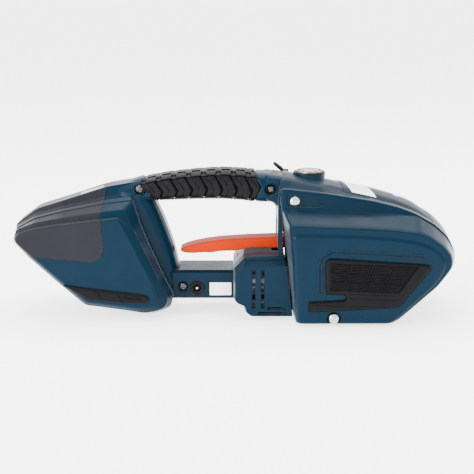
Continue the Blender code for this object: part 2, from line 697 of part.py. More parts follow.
def grip_ring(name, grow):
    """The rubber sleeve: a rounded tube along X that follows the bowed handle."""
    stations = ((-60.0, 86.2, 104.4), (-50.0, 86.4, 106.2), (-32.0, 87.2, 108.0), (-12.0, 87.6, 109.2),
                (4.0, 87.2, 108.6), (18.6, 85.6, 107.4))
    outer, inner = [], []
    for x, low, high in stations:
        outer.append(rounded_section(x, low - grow, high + grow, 17.4 + grow))
        inner.append(rounded_section(x, low + 3.2, high - 3.3, 14.0 + GAP + 0.4))
    # The left end leans with the column: its top reaches further towards the battery.
    outer[0] = [(-69.0 + (104.0 - z) * 0.5, y, z) for x, y, z in outer[0]]
    inner[0] = [(-73.0 + (104.0 - z) * 0.5, y, z) for x, y, z in inner[0]]
    inner[-1] = [(x + 4.0, y, z) for x, y, z in inner[-1]]
    return cut(loft(name, outer), loft(name + "_bore", inner))


def rounded_section(x, low, high, half_width):
    """An oval ring of points across the handle at x."""
    middle, half_height = (low + high) / 2, (high - low) / 2
    points = []
    for i in range(16):
        angle = 2 * math.pi * (i + 0.5) / 16
        across, up = math.cos(angle), math.sin(angle)
        squareness = 0.62
        points.append((x, half_width * math.copysign(abs(across) ** squareness, across),
                       middle + half_height * math.copysign(abs(up) ** squareness, up)))
    return points


# ---------------------------------------------------------------- base, frame and drive


def build_base():
    near = -22.0
    plate = loft("base_plate", [
        [(x0, near, z), (x1, near, z), (x1, 18.0, z), (x2, 22.0, z), (x2, STRAP_Y[1], z),
         (x0 - 6.0, STRAP_Y[1], z),
         (x0 - 6.0, 22.0, z)]
        for z, x0, x1, x2 in ((0.0, 53.0, 108.0, 134.0), (PLATE_THICK, 50.6, 111.0, 139.0))
    ])
    cut(plate, box("tension_seat", (56.0, 24.5, 3.0), (86.0, 45.0, 9.0)))
    cut(plate, box("weld_seat", (102.7, 24.5, 3.0), (131.3, 45.0, 9.0)))
    for x, y in BASE_SCREWS:
        cut(plate, cylinder("base_screw_way", (x, y, -1.0), (x, y, 2.6), 4.3, sides=20))
    part(plate, "steel")

    for name, x0, x1 in (("tension_plate", 56.0, 86.0), ("weld_plate", 102.7, 131.3)):
        insert = box(name, (x0 + GAP, 24.5 + GAP, 3.0 + GAP), (x1 - GAP, 45.0 - GAP, PLATE_THICK + 0.2))
        part(insert, "steel")


BASE_SCREWS = ((66.0, -14.0), (100.0, -14.0), (84.0, 10.0))

NEAR_CHEEK = [(61.0, 5.4), (61.0, 44.0), (74.0, 48.0), (126.0, 48.0), (131.0, 42.0), (131.0, 26.0),
              (108.0, 5.4)]
FAR_CHEEK = [(61.0, 13.4), (61.0, 40.0), (74.0, 44.0), (84.0, 48.0), (126.0, 48.0), (131.0, 42.0),
             (131.0, 26.0),
             (117.0, 13.4)]


def build_frame():
    frame = plate_y("main_frame", NEAR_CHEEK, *CHEEK_NEAR)
    join(
        frame,
        plate_y("far_cheek", FAR_CHEEK, *CHEEK_FAR),
        box("frame_floor", (61.0, CHEEK_NEAR[1] - 1.0, PLATE_THICK + 0.4), (108.0, 13.0, 9.0)),
        box("frame_wall", (120.0, CHEEK_NEAR[1] - 1.0, 17.6), (125.0, CHEEK_FAR[0] + 1.0, 23.0)),
        box("frame_far_foot", (62.0, 9.0, PLATE_THICK + 0.4), (108.0, 18.0, 15.0)),
        box("motor_flange", (57.0, CHEEK_NEAR[0], 9.0), (62.5, CHEEK_FAR[1], 40.0)),
    )
    for x, z in ((DRIVE_X, MOTOR_Z), (ECC_X, ECC_Z)):
        cut(frame, y_hole("bearing_way", (x, z), BEARING_R + GAP, -30.0, 30.0, SIDES))
    cut(frame, y_hole("gear_relief", (DRIVE_X, MOTOR_Z), 17.6, CHEEK_NEAR[1] + 0.2, -3.6, 28))
    cut(frame, cylinder("motor_nose_way", (50.0, 0, MOTOR_Z), (66.0, 0, MOTOR_Z), 6.6))
    part(frame, "aluminium")

    for name, x, z, y in (
        ("drive_bearing_near", DRIVE_X, MOTOR_Z, CHEEK_NEAR),
        ("drive_bearing_far", DRIVE_X, MOTOR_Z, CHEEK_FAR),
        ("eccentric_bearing_near", ECC_X, ECC_Z, CHEEK_NEAR),
        ("eccentric_bearing_far", ECC_X, ECC_Z, CHEEK_FAR),
    ):
        low, high = y[0] + 0.5, y[1] - 0.5
        ring = [(BEARING_R, high), (BEARING_R, low), (SHAFT_R + GAP, low), (SHAFT_R + GAP, high)]
        part(turned(name, ring, (x, 0, z), Y_AXIS), "steel")


def build_motor():
    motor = cylinder("motor", (MOTOR_X[0], 0, MOTOR_Z), (MOTOR_X[1], 0, MOTOR_Z), MOTOR_R, sides=32)
    join(motor, cylinder("motor_nose", (50, 0, MOTOR_Z), (60, 0, MOTOR_Z), 6.0))
    cut(motor, cylinder("motor_bore", (34, 0, MOTOR_Z), (70, 0, MOTOR_Z), 3.0))
    part(motor, "steel")


def gear_outline(teeth, root, tip, root_share, tip_share, phase_deg):
    """A toothed outline about the origin: each share is the part of the pitch that the tooth fills there."""
    points = []
    pitch = 2 * math.pi / teeth
    for tooth in range(teeth):
        middle = math.radians(phase_deg) + tooth * pitch
        for radius, share in ((root, -root_share), (tip, -tip_share), (tip, tip_share),
                              (root, root_share)):
            angle = middle + share * pitch / 2
            points.append((radius * math.cos(angle), radius * math.sin(angle)))
    return points


def bevel_gear(name, teeth, other_teeth, other_radius, face, phase_deg, axis, apex, side):
    """A bevel gear whose tooth faces run to the apex; other_radius is its distance from it at the large end."""
    pitch_angle = math.atan2(teeth, other_teeth)
    cone = other_radius / math.cos(pitch_angle)
    tip = other_radius * math.tan(pitch_angle + math.atan(0.95 / cone))
    root = other_radius * math.tan(pitch_angle - math.atan(1.35 / cone))
    outline = gear_outline(teeth, root, tip, 0.50, 0.22, phase_deg)
    sections = []
    for distance in (other_radius, other_radius - face):
        scale = distance / other_radius
        section = []
        for u, v in outline:
            if axis == "X":
                section.append((apex[0] + side * distance, apex[1] + u * scale, apex[2] + v * scale))
            else:
                section.append((apex[0] + u * scale, apex[1] + side * distance, apex[2] + v * scale))
        sections.append(section)
    return loft(name, sections)


def build_drive():
    """Motor pinion, drive shaft with bevel gear and pulley, belt, and the eccentric shaft."""
    apex = (DRIVE_X, 0.0, MOTOR_Z)
    small, large = BEVEL_TEETH
    gear_distance, pinion_distance = 6.0, 14.0
    pinion = bevel_gear("motor_pinion", small, large, pinion_distance, 4.4, 180.0 + 180.0 / small, "X",
                        apex, -1)
    pinion_x = DRIVE_X - pinion_distance
    join(pinion, cylinder("pinion_shaft", (36.0, 0, MOTOR_Z), (pinion_x + 1.0, 0, MOTOR_Z), 2.6))
    part(pinion, "steel", (pinion_x, 0, MOTOR_Z))

    bevel = bevel_gear("bevel_gear", large, small, gear_distance, 1.9, 180.0, "Y", apex, -1)
    join(bevel, cylinder("bevel_back", (DRIVE_X, -12.4, MOTOR_Z), (DRIVE_X, -5.4, MOTOR_Z), 9.4))
    cut(bevel, y_hole("bevel_bore", (DRIVE_X, MOTOR_Z), SHAFT_R + GAP, -20.0, 0.0, SIDES))
    part(bevel, "steel", apex)

    shaft = cylinder("drive_shaft", (DRIVE_X, -40.0, MOTOR_Z), (DRIVE_X, 31.4, MOTOR_Z), SHAFT_R)
    part(shaft, "steel", apex)

    pulley = turned("drive_pulley", [
        (DRIVE_PULLEY_R - GAP, BELT_Y[1]), (DRIVE_PULLEY_R - GAP, BELT_Y[0]), (SHAFT_R + GAP, BELT_Y[0]),
        (SHAFT_R + GAP, BELT_Y[1] + 8.0), (8.0, BELT_Y[1] + 8.0), (8.0, BELT_Y[1] + 1.6),
        (DRIVE_PULLEY_R + 2.0, BELT_Y[1] + 1.6), (DRIVE_PULLEY_R + 2.0, BELT_Y[1] + 0.6),
        (DRIVE_PULLEY_R - GAP, BELT_Y[1] + 0.6)], apex[:1] + (0.0,) + apex[2:], Y_AXIS)
    part(pulley, "aluminium", apex)

    part(belt(), "black_rubber")

    eccentric = turned("eccentric_shaft", [
        (0, 22.6), (SHAFT_R, 22.6), (SHAFT_R, BELT_Y[1] + 0.6), (ECC_PULLEY_R + 2.0, BELT_Y[1] + 0.6),
        (ECC_PULLEY_R + 2.0, BELT_Y[1] + 0.2), (ECC_PULLEY_R - GAP, BELT_Y[1] + 0.2),
        (ECC_PULLEY_R - GAP, BELT_Y[0]),
        (0, BELT_Y[0])], (ECC_X, 0, ECC_Z), Y_AXIS)
    join(eccentric, y_hole("eccentric_pin", (ECC_X, ECC_Z + ECC_THROW), 2.5, 20.0, 31.0, 20))
    part(eccentric, "steel", (ECC_X, 0, ECC_Z))


def belt_line(extra):
    """The closed line round both pulleys, at this distance outside them."""
    ax, az, ar = DRIVE_X, MOTOR_Z, DRIVE_PULLEY_R + extra
    bx, bz, br = ECC_X, ECC_Z, ECC_PULLEY_R + extra
    run = math.degrees(math.atan2(bz - az, bx - ax))
    lean = math.degrees(math.acos((ar - br) / math.hypot(bx - ax, bz - az)))
    around_a = arc((ax, az), ar, run + lean, run + 360 - lean, 18)
    around_b = arc((bx, bz), br, run - lean, run + lean, 12)
    return around_a + around_b


def belt():
    loop = plate_y("drive_belt", belt_line(BELT_THICK), *BELT_Y)
    return cut(loop, plate_y("belt_inside", belt_line(0.0), BELT_Y[0] - 2, BELT_Y[1] + 2))


# ---------------------------------------------------------------- rocker, lever and tension wheel

ROCKER_ARM_Y = (19.2, 24.4)
ROCKER_ARM = [
    (80.0, 14.6), (91.0, 13.4), (98.0, 16.4), (101.2, 22.4), (100.6, 28.6), (96.8, 33.4), (88.0, 35.0),
    (68.0, 47.0), (57.0, 57.4), (46.3, 57.4), (46.3, 46.6), (56.0, 42.6), (60.4, 32.0), (60.6, 19.0),
    (65.0, 14.2),
    (72.0, 13.4),
]

LEVER_TOP = [(-41.4, 50.4), (-39.4, 52.6), (-35.3, 54.0), (-24.0, 55.7), (-12.8, 56.7), (8.0, 57.8),
             (30.0, 58.5),
             (45.9, 58.5)]
LEVER_LOW = [(45.9, 49.4), (30.0, 49.4), (7.0, 49.4), (3.0, 47.9), (-1.5, 47.3), (-9.0, 46.4),
             (-18.8, 45.5),
             (-28.0, 45.4), (-36.0, 45.0), (-40.8, 46.4), (-41.9, 48.4)]


def build_rocker():
    pivot = (DRIVE_X, 0.0, MOTOR_Z)
    arm = plate_y("rocker_arm", ROCKER_ARM, *ROCKER_ARM_Y)
    join(
        arm,
        box("rocker_crossbar", (46.3, -7.0, 47.0), (56.6, ROCKER_ARM_Y[1] - 0.8, 57.0)),
        box("rocker_tongue", (30.0, -3.0, 51.2), (47.0, 3.0, 55.8)),
    )
    cut(arm, y_hole("rocker_bore", (DRIVE_X, MOTOR_Z), SHAFT_R + GAP, 10.0, 40.0, SIDES))
    cut(arm, y_hole("axle_way", (WHEEL_X, WHEEL_Z), 3.0 + GAP, 10.0, 40.0, SIDES))
    part(arm, "steel", pivot)

    axle = turned("wheel_axle", [
        (0, 43.4), (4.6, 43.4), (4.6, WHEEL_Y[1] + 0.4), (3.0, WHEEL_Y[1] + 0.4), (3.0, 18.8), (0, 18.8)],
        (WHEEL_X, 0, WHEEL_Z), Y_AXIS)
    part(axle, "steel", (WHEEL_X, 0, WHEEL_Z))

    outline = LEVER_TOP + LEVER_LOW
    lever = loft_y("squeeze_lever", mirrored_levels([(6.6, outline), (8.4, inset(outline, 0.9))]))
    cut(lever, box("tongue_way", (29.6, -3.3, 50.9), (50.0, 3.3, 56.1)))
    part(lever, "orange_lever", pivot)

    small, large = SPUR_TEETH
    towards_wheel = math.degrees(math.atan2(WHEEL_Z - MOTOR_Z, WHEEL_X - DRIVE_X))
    pinion = plate_y("clutch_pinion", [
        (DRIVE_X + u, MOTOR_Z + v) for u, v in spur_outline(small, towards_wheel + 180.0 / small)],
        *SPUR_Y)
    cut(pinion, y_hole("clutch_bore", (DRIVE_X, MOTOR_Z), SHAFT_R + GAP, 20.0, 40.0, SIDES))
    part(pinion, "steel", pivot)

    wheel = plate_y("tension_wheel", [
        (WHEEL_X + u, WHEEL_Z + v) for u, v in spur_outline(large, towards_wheel + 180.0)], *SPUR_Y)
    join(wheel, y_hole("wheel_hub", (WHEEL_X, WHEEL_Z), 10.0, SPUR_Y[1] - 0.5, WHEEL_Y[0] + 0.6))
    join(wheel, y_hole("wheel_tread", (WHEEL_X, WHEEL_Z), WHEEL_R, *WHEEL_Y, 36))
    cut(wheel, y_hole("wheel_bore", (WHEEL_X, WHEEL_Z), 3.0 + GAP, 20.0, 50.0, SIDES))
    part(wheel, "steel", (WHEEL_X, 0, WHEEL_Z))


def spur_outline(teeth, phase_deg):
    pitch_radius = SPUR_MODULE * teeth / 2
    return gear_outline(teeth, pitch_radius - 1.25 * SPUR_MODULE, pitch_radius + 0.9 * SPUR_MODULE,
                        0.62, 0.22,
                        phase_deg)


# ---------------------------------------------------------------- welding unit


def build_weld_unit():
    carrier = box("weld_carrier", (104.0, 31.4, 17.0), (127.4, 42.4, 50.0))
    join(carrier, box("carrier_bridge", (110.0, 18.6, 50.0), (126.0, 42.0, 55.0)))
    join(carrier, box("carrier_neck", (110.0, 31.8, 49.0), (126.0, 41.6, 51.0)))
    part(carrier, "steel", (ECC_X, 30.0, 17.0))

    shoe = box("weld_shoe", (108.4, 26.2, PLATE_THICK + 0.6), (126.6, 42.4, 9.6))
    join(shoe, box("shoe_yoke", (109.0, 26.2, 9.0), (126.4, 30.6, 43.0)))
    join(shoe, box("shoe_block", (110.0, 30.0, 9.0), (126.0, 42.0, 16.6)))
    cut(shoe, box("yoke_slot", (ECC_X - 4.8, 20.0, ECC_Z - 7.6), (ECC_X + 4.8, 31.0, ECC_Z + 4.4)))
    part(shoe, "steel", (ECC_X, 30.0, 9.0))

    cutter = box("cutter", (100.6, 31.4, 6.2), (103.6, 42.4, 26.0))
    part(cutter, "bright_zinc", (102.0, 37.0, 6.2))


# ---------------------------------------------------------------- battery, cable, jack and small pieces


def build_battery():
    holder = box("cell_holder", (-152.0, -3.0, 29.0), (-86.0, 3.0, 74.0))
    keep_inside(holder, plate_y("holder_region", inset(LOBE_LEVELS[0][1], 6.4), -5.0, 5.0))
    for i, (x, z) in enumerate(CELLS):
        cut(holder, y_hole(f"cell_way_{i}", (x, z), CELL_R + GAP, -10.0, 10.0, SIDES))
        half = CELL_LENGTH / 2
        cell = cylinder(f"battery_cell_{i + 1}", (x, -half, z), (x, half, z), CELL_R)
        part(cell, "cell_wrap")
    part(holder, "black_plastic")

    cable = tube("battery_cable", [(-84.0, 0, 40.0), (-78.0, 0, 33.0), (-70.0, 0, 26.0), (-60.0, 0, 22.4),
                                   (-40.0, 0, 21.8), (-20.0, 0, 22.0), (-2.6, 0, 22.4)], 2.0)
    part(cable, "black_rubber")


def build_electrics():
    body = y_hole("charging_jack", JACK, JACK_R, -18.2, -12.2, SIDES)
    cut(body, y_hole("jack_bore", JACK, 3.4, -25.0, -13.6, 20))
    join(body, y_hole("jack_pin", JACK, 1.1, -17.2, -13.0, 12))
    part(body, "black_plastic")

    label = box("bridge_label", (LABEL_X[0] + 0.6, -17.3, LABEL_Z[0] + 0.6),
                (LABEL_X[1] - 0.6, -16.9, LABEL_Z[1] - 0.6))
    part(label, "white_label")


def screw(name, place, axis, head_r=SCREW_R, head_h=2.2, shank=0.0):
    """A pan-head screw with a hex socket; place is the underside of its head, axis points out of it."""
    profile = [(0, head_h), (head_r * 0.7, head_h), (head_r, head_h * 0.6), (head_r, 0)]
    if shank:
        profile += [(head_r * 0.5, 0), (head_r * 0.5, -shank)]
    profile += [(0, -shank)]
    made = turned(name, profile, place, axis, 16)
    centre = Vector(place)
    socket = cylinder(name + "_socket", centre + axis * head_h * 0.45, centre + axis * (head_h + 1.0),
                      1.5, sides=6)
    cut(made, socket)
    part(made, "bright_zinc")


def build_screws():
    out = -Y_AXIS
    for i, (x, z, depth) in enumerate(HANDLE_SCREWS):
        screw(f"handle_screw_{i + 1}", (x, depth - GAP, z), out)
    screw("bridge_screw", (BRIDGE_SCREW[0], -14.7, BRIDGE_SCREW[1]), out)
    screw("cover_screw_top", (COVER_TOP_SCREW[0], -28.5, COVER_TOP_SCREW[1]), out)
    screw("cover_screw_low", (COVER_LOW_SCREW[0], -48.3, COVER_LOW_SCREW[1]), out)
    for i, (x, z) in enumerate(GEAR_SCREWS):
        screw(f"gear_cover_screw_{i + 1}", (x, GEAR_COVER_Y - 0.9, z), Y_AXIS)
    for i, (x, y) in enumerate(BASE_SCREWS):
        screw(f"base_screw_{i + 1}", (x, y, 2.3), -Z_AXIS, 4.0, 2.0)


HANG_PIVOT = (37.0, 20.5, 102.4)
HANG_LENGTH = 12.0
HANG_LEAN = 140.0


def build_spring():
    """The lever's return spring, between the motor and the crossbar."""
    turns, radius, low, high, each = 3.5, 2.6, 42.7, 46.1, 9
    points = []
    for i in range(int(turns * each) + 1):
        angle = 2 * math.pi * i / each
        rise = low + (high - low) * i / (turns * each)
        points.append((51.5 + radius * math.cos(angle), radius * math.sin(angle), rise))
    part(tube("lever_spring", points, 0.4), "steel")


def hang_lug_way(name, grow):
    """The lug's foot through the shell, and with grow its slot."""
    x, y, z = HANG_PIVOT
    return box(name, (x - 2.4 - grow, y - 0.9 - grow, z - 5.0 - grow),
               (x + 2.4 + grow, y + 0.9 + grow, z + 2.6 + grow))


def build_hanger():
    """The wire hanging loop behind the button; its straight side lies in the lug's hole."""
    x, y, z = HANG_PIVOT
    lug = hang_lug_way("hang_lug", 0.0)
    cut(lug, y_hole("lug_bore", (x, z), 1.5, y - 5, y + 5, 16))
    part(lug, "steel")

    half = 3.8
    out = Vector((math.cos(math.radians(HANG_LEAN)), 0.0, math.sin(math.radians(HANG_LEAN))))
    line = [Vector((0, -half * 0.5, 0)), Vector((0, half * 0.5, 0)),
            Vector((0, half * 0.9, 0)) + out * 0.4,
            Vector((0, half, 0)) + out * 1.4]
    reach = HANG_LENGTH - half - 1.2
    for i in range(9):
        angle = math.pi * i / 8
        line.append(Vector((0, half * math.cos(angle), 0)) + out * (reach + half * math.sin(angle)))
    line += [Vector((0, -half, 0)) + out * 1.4, Vector((0, -half * 0.9, 0)) + out * 0.4]
    loop = tube("hang_loop", [Vector(HANG_PIVOT) + step for step in line], 1.1, ring=True)
    part(loop, "black_plastic", HANG_PIVOT)


build_housing()
build_end_cap()
build_covers()
build_top()
build_pads_and_grip()
build_base()
build_frame()
build_motor()
build_drive()
build_rocker()
build_weld_unit()
build_battery()
build_electrics()
build_screws()
build_spring()
build_hanger()

for made in (*PARTS.objects, *CUTTERS.objects):
    made.location += Vector(CENTRING) * MM
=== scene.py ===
"""Looks for the battery strapping tool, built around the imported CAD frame.

Shapes are written in the CAD model's own millimetres, where X = 0, Y = 0 is the point that the model was
drawn round; PLACE moves them into the row frame. Each piece rides on a CAD body and replaces CAD nodes.
"""
import json
import math

import bmesh
import bpy
from mathutils import Matrix, Vector


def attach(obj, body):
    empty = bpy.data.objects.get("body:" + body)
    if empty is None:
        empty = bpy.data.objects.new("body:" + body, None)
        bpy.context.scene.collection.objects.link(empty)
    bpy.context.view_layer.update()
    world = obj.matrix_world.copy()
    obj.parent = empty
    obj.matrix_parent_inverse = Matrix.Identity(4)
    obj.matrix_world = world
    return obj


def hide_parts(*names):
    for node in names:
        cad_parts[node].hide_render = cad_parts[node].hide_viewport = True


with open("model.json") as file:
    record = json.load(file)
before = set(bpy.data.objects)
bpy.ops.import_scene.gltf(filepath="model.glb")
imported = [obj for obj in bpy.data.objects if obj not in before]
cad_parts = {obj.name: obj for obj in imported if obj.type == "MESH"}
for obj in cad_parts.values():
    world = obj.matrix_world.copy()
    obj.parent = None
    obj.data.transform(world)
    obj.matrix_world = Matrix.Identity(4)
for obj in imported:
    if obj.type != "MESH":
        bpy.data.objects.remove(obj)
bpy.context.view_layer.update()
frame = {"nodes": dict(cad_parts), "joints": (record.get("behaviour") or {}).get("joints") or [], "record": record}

MM = 0.001
DRIVE = (91.0, 0.0, 24.0)  # the drive shaft in the drawing's millimetres
JOINTS = {joint["name"]: joint for joint in frame["joints"]}
PLACE = Vector(JOINTS["drive_spin"]["pos_m"]) - Vector(DRIVE) * MM
ROOT = "housing"

# ---------------------------------------------------------------- mesh helpers


def add(name, mesh):
    made = bpy.data.objects.new(name, mesh)
    bpy.context.scene.collection.objects.link(made)
    return made


def from_bmesh(name, shape):
    """An object from a bmesh in drawing millimetres, with its faces turned outwards."""
    bmesh.ops.recalc_face_normals(shape, faces=shape.faces)
    mesh = bpy.data.meshes.new(name)
    shape.to_mesh(mesh)
    shape.free()
    mesh.transform(Matrix.Translation(PLACE) @ Matrix.Scale(MM, 4))
    return add(name, mesh)


def box(name, low, high):
    shape = bmesh.new()
    size = [b - a for a, b in zip(low, high)]
    middle = [(a + b) / 2 for a, b in zip(low, high)]
    bmesh.ops.create_cube(shape, matrix=Matrix.Translation(middle) @ Matrix.Diagonal((*size, 1.0)))
    return from_bmesh(name, shape)


def turned(name, profile, base, axis, sides=48):
    """A turned solid: (height, radius) rings along an axis from base, its ends closed flat."""
    axis = Vector(axis).normalized()
    side = axis.orthogonal().normalized()
    other = axis.cross(side)
    rings = []
    for height, radius in profile:
        middle = Vector(base) + axis * height
        rings.append([
            middle + (side * math.cos(a) + other * math.sin(a)) * radius
            for a in (2 * math.pi * i / sides for i in range(sides))
        ])
    return loft(name, rings)


def rod(name, start, end, radius, sides=32):
    along = Vector(end) - Vector(start)
    return turned(name, [(0.0, radius), (along.length, radius)], start, along, sides)


def loft(name, sections, closed=False):
    """A solid through rings of the same number of points; closed joins the last ring to the first."""
    shape = bmesh.new()
    rings = [[shape.verts.new(point) for point in section] for section in sections]
    pairs = list(zip(rings, rings[1:]))
    if closed:
        pairs.append((rings[-1], rings[0]))
    for ring, after in pairs:
        for i in range(len(ring)):
            j = (i + 1) % len(ring)
            shape.faces.new((ring[i], ring[j], after[j], after[i]))
    if not closed:
        shape.faces.new(rings[0])
        shape.faces.new(rings[-1])
        shape.normal_update()
        bmesh.ops.triangulate(shape, faces=[f for f in shape.faces if len(f.verts) > 4])
    return from_bmesh(name, shape)


def eased_corner(before, corner, after, reach, steps):
    """Points of a soft corner, starting and ending at most reach away from it."""
    before, corner, after = Vector(before), Vector(corner), Vector(after)
    to_before, to_after = before - corner, after - corner
    start = corner + to_before * min(0.45, reach / max(to_before.length, 1e-6))
    end = corner + to_after * min(0.45, reach / max(to_after.length, 1e-6))
    points = []
    for i in range(steps + 1):
        t = i / steps
        points.append(start * (1 - t) ** 2 + corner * (2 * t * (1 - t)) + end * t * t)
    return points


def rounded(outline, reach, steps=4):
    """The closed outline with each corner eased."""
    points = []
    for i, corner in enumerate(outline):
        after = outline[(i + 1) % len(outline)]
        points += [(p[0], p[1]) for p in eased_corner(outline[i - 1], corner, after, reach, steps)]
    return points


def inset(outline, distance):
    """The outline moved inwards, point for point."""
    area = sum(a[0] * b[1] - b[0] * a[1] for a, b in zip(outline, outline[1:] + outline[:1]))
    side = 1.0 if area > 0 else -1.0
    moved = []
    for i, point in enumerate(outline):
        before = Vector(point) - Vector(outline[i - 1])
        after = Vector(outline[(i + 1) % len(outline)]) - Vector(point)
        normal_a = Vector((-before.y, before.x)).normalized() * side
        normal_b = Vector((-after.y, after.x)).normalized() * side
        middle = (normal_a + normal_b).normalized()
        reach = distance / max(0.35, middle.dot(normal_a))
        moved.append((point[0] + middle.x * reach, point[1] + middle.y * reach))
    return moved


def mixed(first, second, share):
    return [(a[0] + (b[0] - a[0]) * share, a[1] + (b[1] - a[1]) * share) for a, b in zip(first, second)]


def shell_y(name, levels, corner=3.0, steps=4, ease_steps=4):
    """A solid through XZ outlines: (y, outline, ease) with ease the reach of the soft edge at that level."""
    stations = [(y, rounded(outline, corner, steps), ease) for y, outline, ease in levels]
    columns = []
    for column in zip(*[[Vector((x, y, z)) for x, z in outline] for y, outline, _ in stations]):
        points = [column[0]]
        for i in range(1, len(column) - 1):
            ease = stations[i][2]
            if ease > 0:
                points += eased_corner(column[i - 1], column[i], column[i + 1], ease, ease_steps)
            else:
                points.append(column[i])
        points.append(column[-1])
        columns.append(points)
    return loft(name, list(zip(*columns)))


def mirrored(levels):
    """Levels given from the middle outwards, repeated on the near side."""
    return [(-y, outline, ease) for y, outline, ease in reversed(levels)] + list(levels)


def capped(levels, y_sign=1.0, ease=0.5, lip=0.8):
    """The levels with the last one's edge eased into its flat face."""
    y, outline, _ = levels[-1]
    return [*levels[:-1], (y, outline, ease), (y + 0.001 * y_sign, inset(outline, lip), 0.0)]


def bake(piece):
    """The piece's evaluated mesh in place of its modifiers."""
    bpy.context.view_layer.update()
    graph = bpy.context.evaluated_depsgraph_get()
    mesh = bpy.data.meshes.new_from_object(piece.evaluated_get(graph))
    piece.modifiers.clear()
    piece.data = mesh
    return piece


def boolean(piece, others, operation):
    for other in others:
        modifier = piece.modifiers.new(operation.title(), "BOOLEAN")
        modifier.operation = operation
        modifier.solver = "MANIFOLD"
        modifier.object = other
    bake(piece)
    for other in others:
        bpy.data.objects.remove(other)
    return piece


def cut(piece, *others):
    return boolean(piece, others, "DIFFERENCE")


def join(piece, *others):
    return boolean(piece, others, "UNION")


def within(piece, region):
    return boolean(piece, [region], "INTERSECT")


def copy_of(piece, name):
    return add(name, piece.data.copy())


def shown(piece, material, body=ROOT, replaces=(), sharp_deg=38.0):
    """Gives a finished piece its material, smooth sides and body, and hides the CAD nodes it replaces."""
    piece.data.materials.clear()
    piece.data.materials.append(material)
    piece.data.shade_smooth()
    piece.data.set_sharp_from_angle(angle=math.radians(sharp_deg))
    weighted = piece.modifiers.new("Even shading", "WEIGHTED_NORMAL")
    weighted.keep_sharp = True
    weighted.weight = 80
    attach(piece, body)
    if replaces:
        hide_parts(*replaces)
    return piece


# ---------------------------------------------------------------- materials


class Nodes:
    """Short calls for the node tree of one Principled material."""

    def __init__(self, name, roughness, metallic=0.0, **sockets):
        self.material = bpy.data.materials.new(name)
        self.material.use_nodes = True
        self.tree = self.material.node_tree
        self.shader = self.tree.nodes["Principled BSDF"]
        self.shader.inputs["Roughness"].default_value = roughness
        self.shader.inputs["Metallic"].default_value = metallic
        for socket, value in sockets.items():
            self.shader.inputs[socket.replace("_", " ")].default_value = value
        self.place = self.tree.nodes.new("ShaderNodeTexCoord").outputs["Object"]

    def link(self, output, node, socket):
        self.tree.links.new(output, node.inputs[socket])

    def stretched(self, scale):
        """Object coordinates stretched by a scale for each axis."""
        node = self.tree.nodes.new("ShaderNodeMapping")
        node.inputs["Scale"].default_value = scale
        self.link(self.place, node, "Vector")
        return node.outputs["Vector"]

    def noise(self, size_mm, detail=3.0, roughness=0.5, along=None):
        """Noise with features of about this size; along stretches it, one factor for each axis."""
        node = self.tree.nodes.new("ShaderNodeTexNoise")
        node.inputs["Scale"].default_value = 1.0 / (size_mm * MM)
        node.inputs["Detail"].default_value = detail
        node.inputs["Roughness"].default_value = roughness
        self.link(self.stretched(along) if along else self.place, node, "Vector")
        return node.outputs["Fac"]

    def cells(self, size_mm):
        node = self.tree.nodes.new("ShaderNodeTexVoronoi")
        node.inputs["Scale"].default_value = 1.0 / (size_mm * MM)
        self.link(self.place, node, "Vector")
        return node.outputs["Distance"]

    def ranged(self, output, low, high, to_low, to_high):
        node = self.tree.nodes.new("ShaderNodeMapRange")
        for socket, value in zip(("From Min", "From Max", "To Min", "To Max"),
                                 (low, high, to_low, to_high)):
            node.inputs[socket].default_value = value
        self.link(output, node, "Value")
        return node.outputs["Result"]

    def colours(self, output, *stops):
        """The shader's colour, from a ramp of (position, colour) stops."""
        ramp = self.tree.nodes.new("ShaderNodeValToRGB")
        while len(ramp.color_ramp.elements) < len(stops):
            ramp.color_ramp.elements.new(0.5)
        for element, (position, colour) in zip(ramp.color_ramp.elements, stops):
            element.position = position
            element.color = (*colour, 1.0)
        self.link(output, ramp, "Fac")
        self.link(ramp.outputs["Color"], self.shader, "Base Color")
        return self

    def rough(self, output, low, high):
        self.link(self.ranged(output, 0.3, 0.7, low, high), self.shader, "Roughness")
        return self

    def bumps(self, *layers):
        """Bump layers of (height output, depth in millimetres), one over the other."""
        normal = None
        for output, depth_mm in layers:
            node = self.tree.nodes.new("ShaderNodeBump")
            node.inputs["Distance"].default_value = depth_mm * MM
            self.link(output, node, "Height")
            if normal is not None:
                self.link(normal, node, "Normal")
            normal = node.outputs["Normal"]
        self.link(normal, self.shader, "Normal")
        return self


def scaled(colour, factor):
    return tuple(min(1.0, channel * factor) for channel in colour)


def moulded(name, colour, roughness, grain_mm, depth_mm, coat=0.0, spread=0.10, specular=0.06,
            sheen=0.10):
    """Injection-moulded plastic: a fine spark-eroded grain, slow colour drift and handling gloss."""
    made = Nodes(
        name, roughness, Coat_Weight=coat, Coat_Roughness=0.25, Specular_IOR_Level=specular,
        Sheen_Weight=sheen, Sheen_Roughness=0.35
    )
    drift = made.noise(38.0, 4.0)
    made.colours(drift, (0.3, scaled(colour, 1.0 - spread)), (0.7, scaled(colour, 1.0 + spread)))
    made.rough(made.noise(22.0, 5.0, 0.6), roughness - 0.06, roughness + 0.08)
    made.bumps((made.cells(grain_mm), depth_mm), (made.noise(grain_mm * 0.45, 2.0), depth_mm * 0.5))
    return made.material


def rubbery(name, colour, roughness):
    made = Nodes(name, roughness, Specular_IOR_Level=0.07, Sheen_Weight=0.015, Sheen_Roughness=0.5)
    made.colours(made.noise(9.0, 5.0), (0.3, scaled(colour, 0.8)), (0.72, scaled(colour, 1.45)))
    made.rough(made.noise(5.0, 4.0), roughness - 0.08, roughness + 0.10)
    made.bumps((made.noise(0.55, 3.0), 0.035), (made.noise(3.0, 2.0), 0.05))
    return made.material


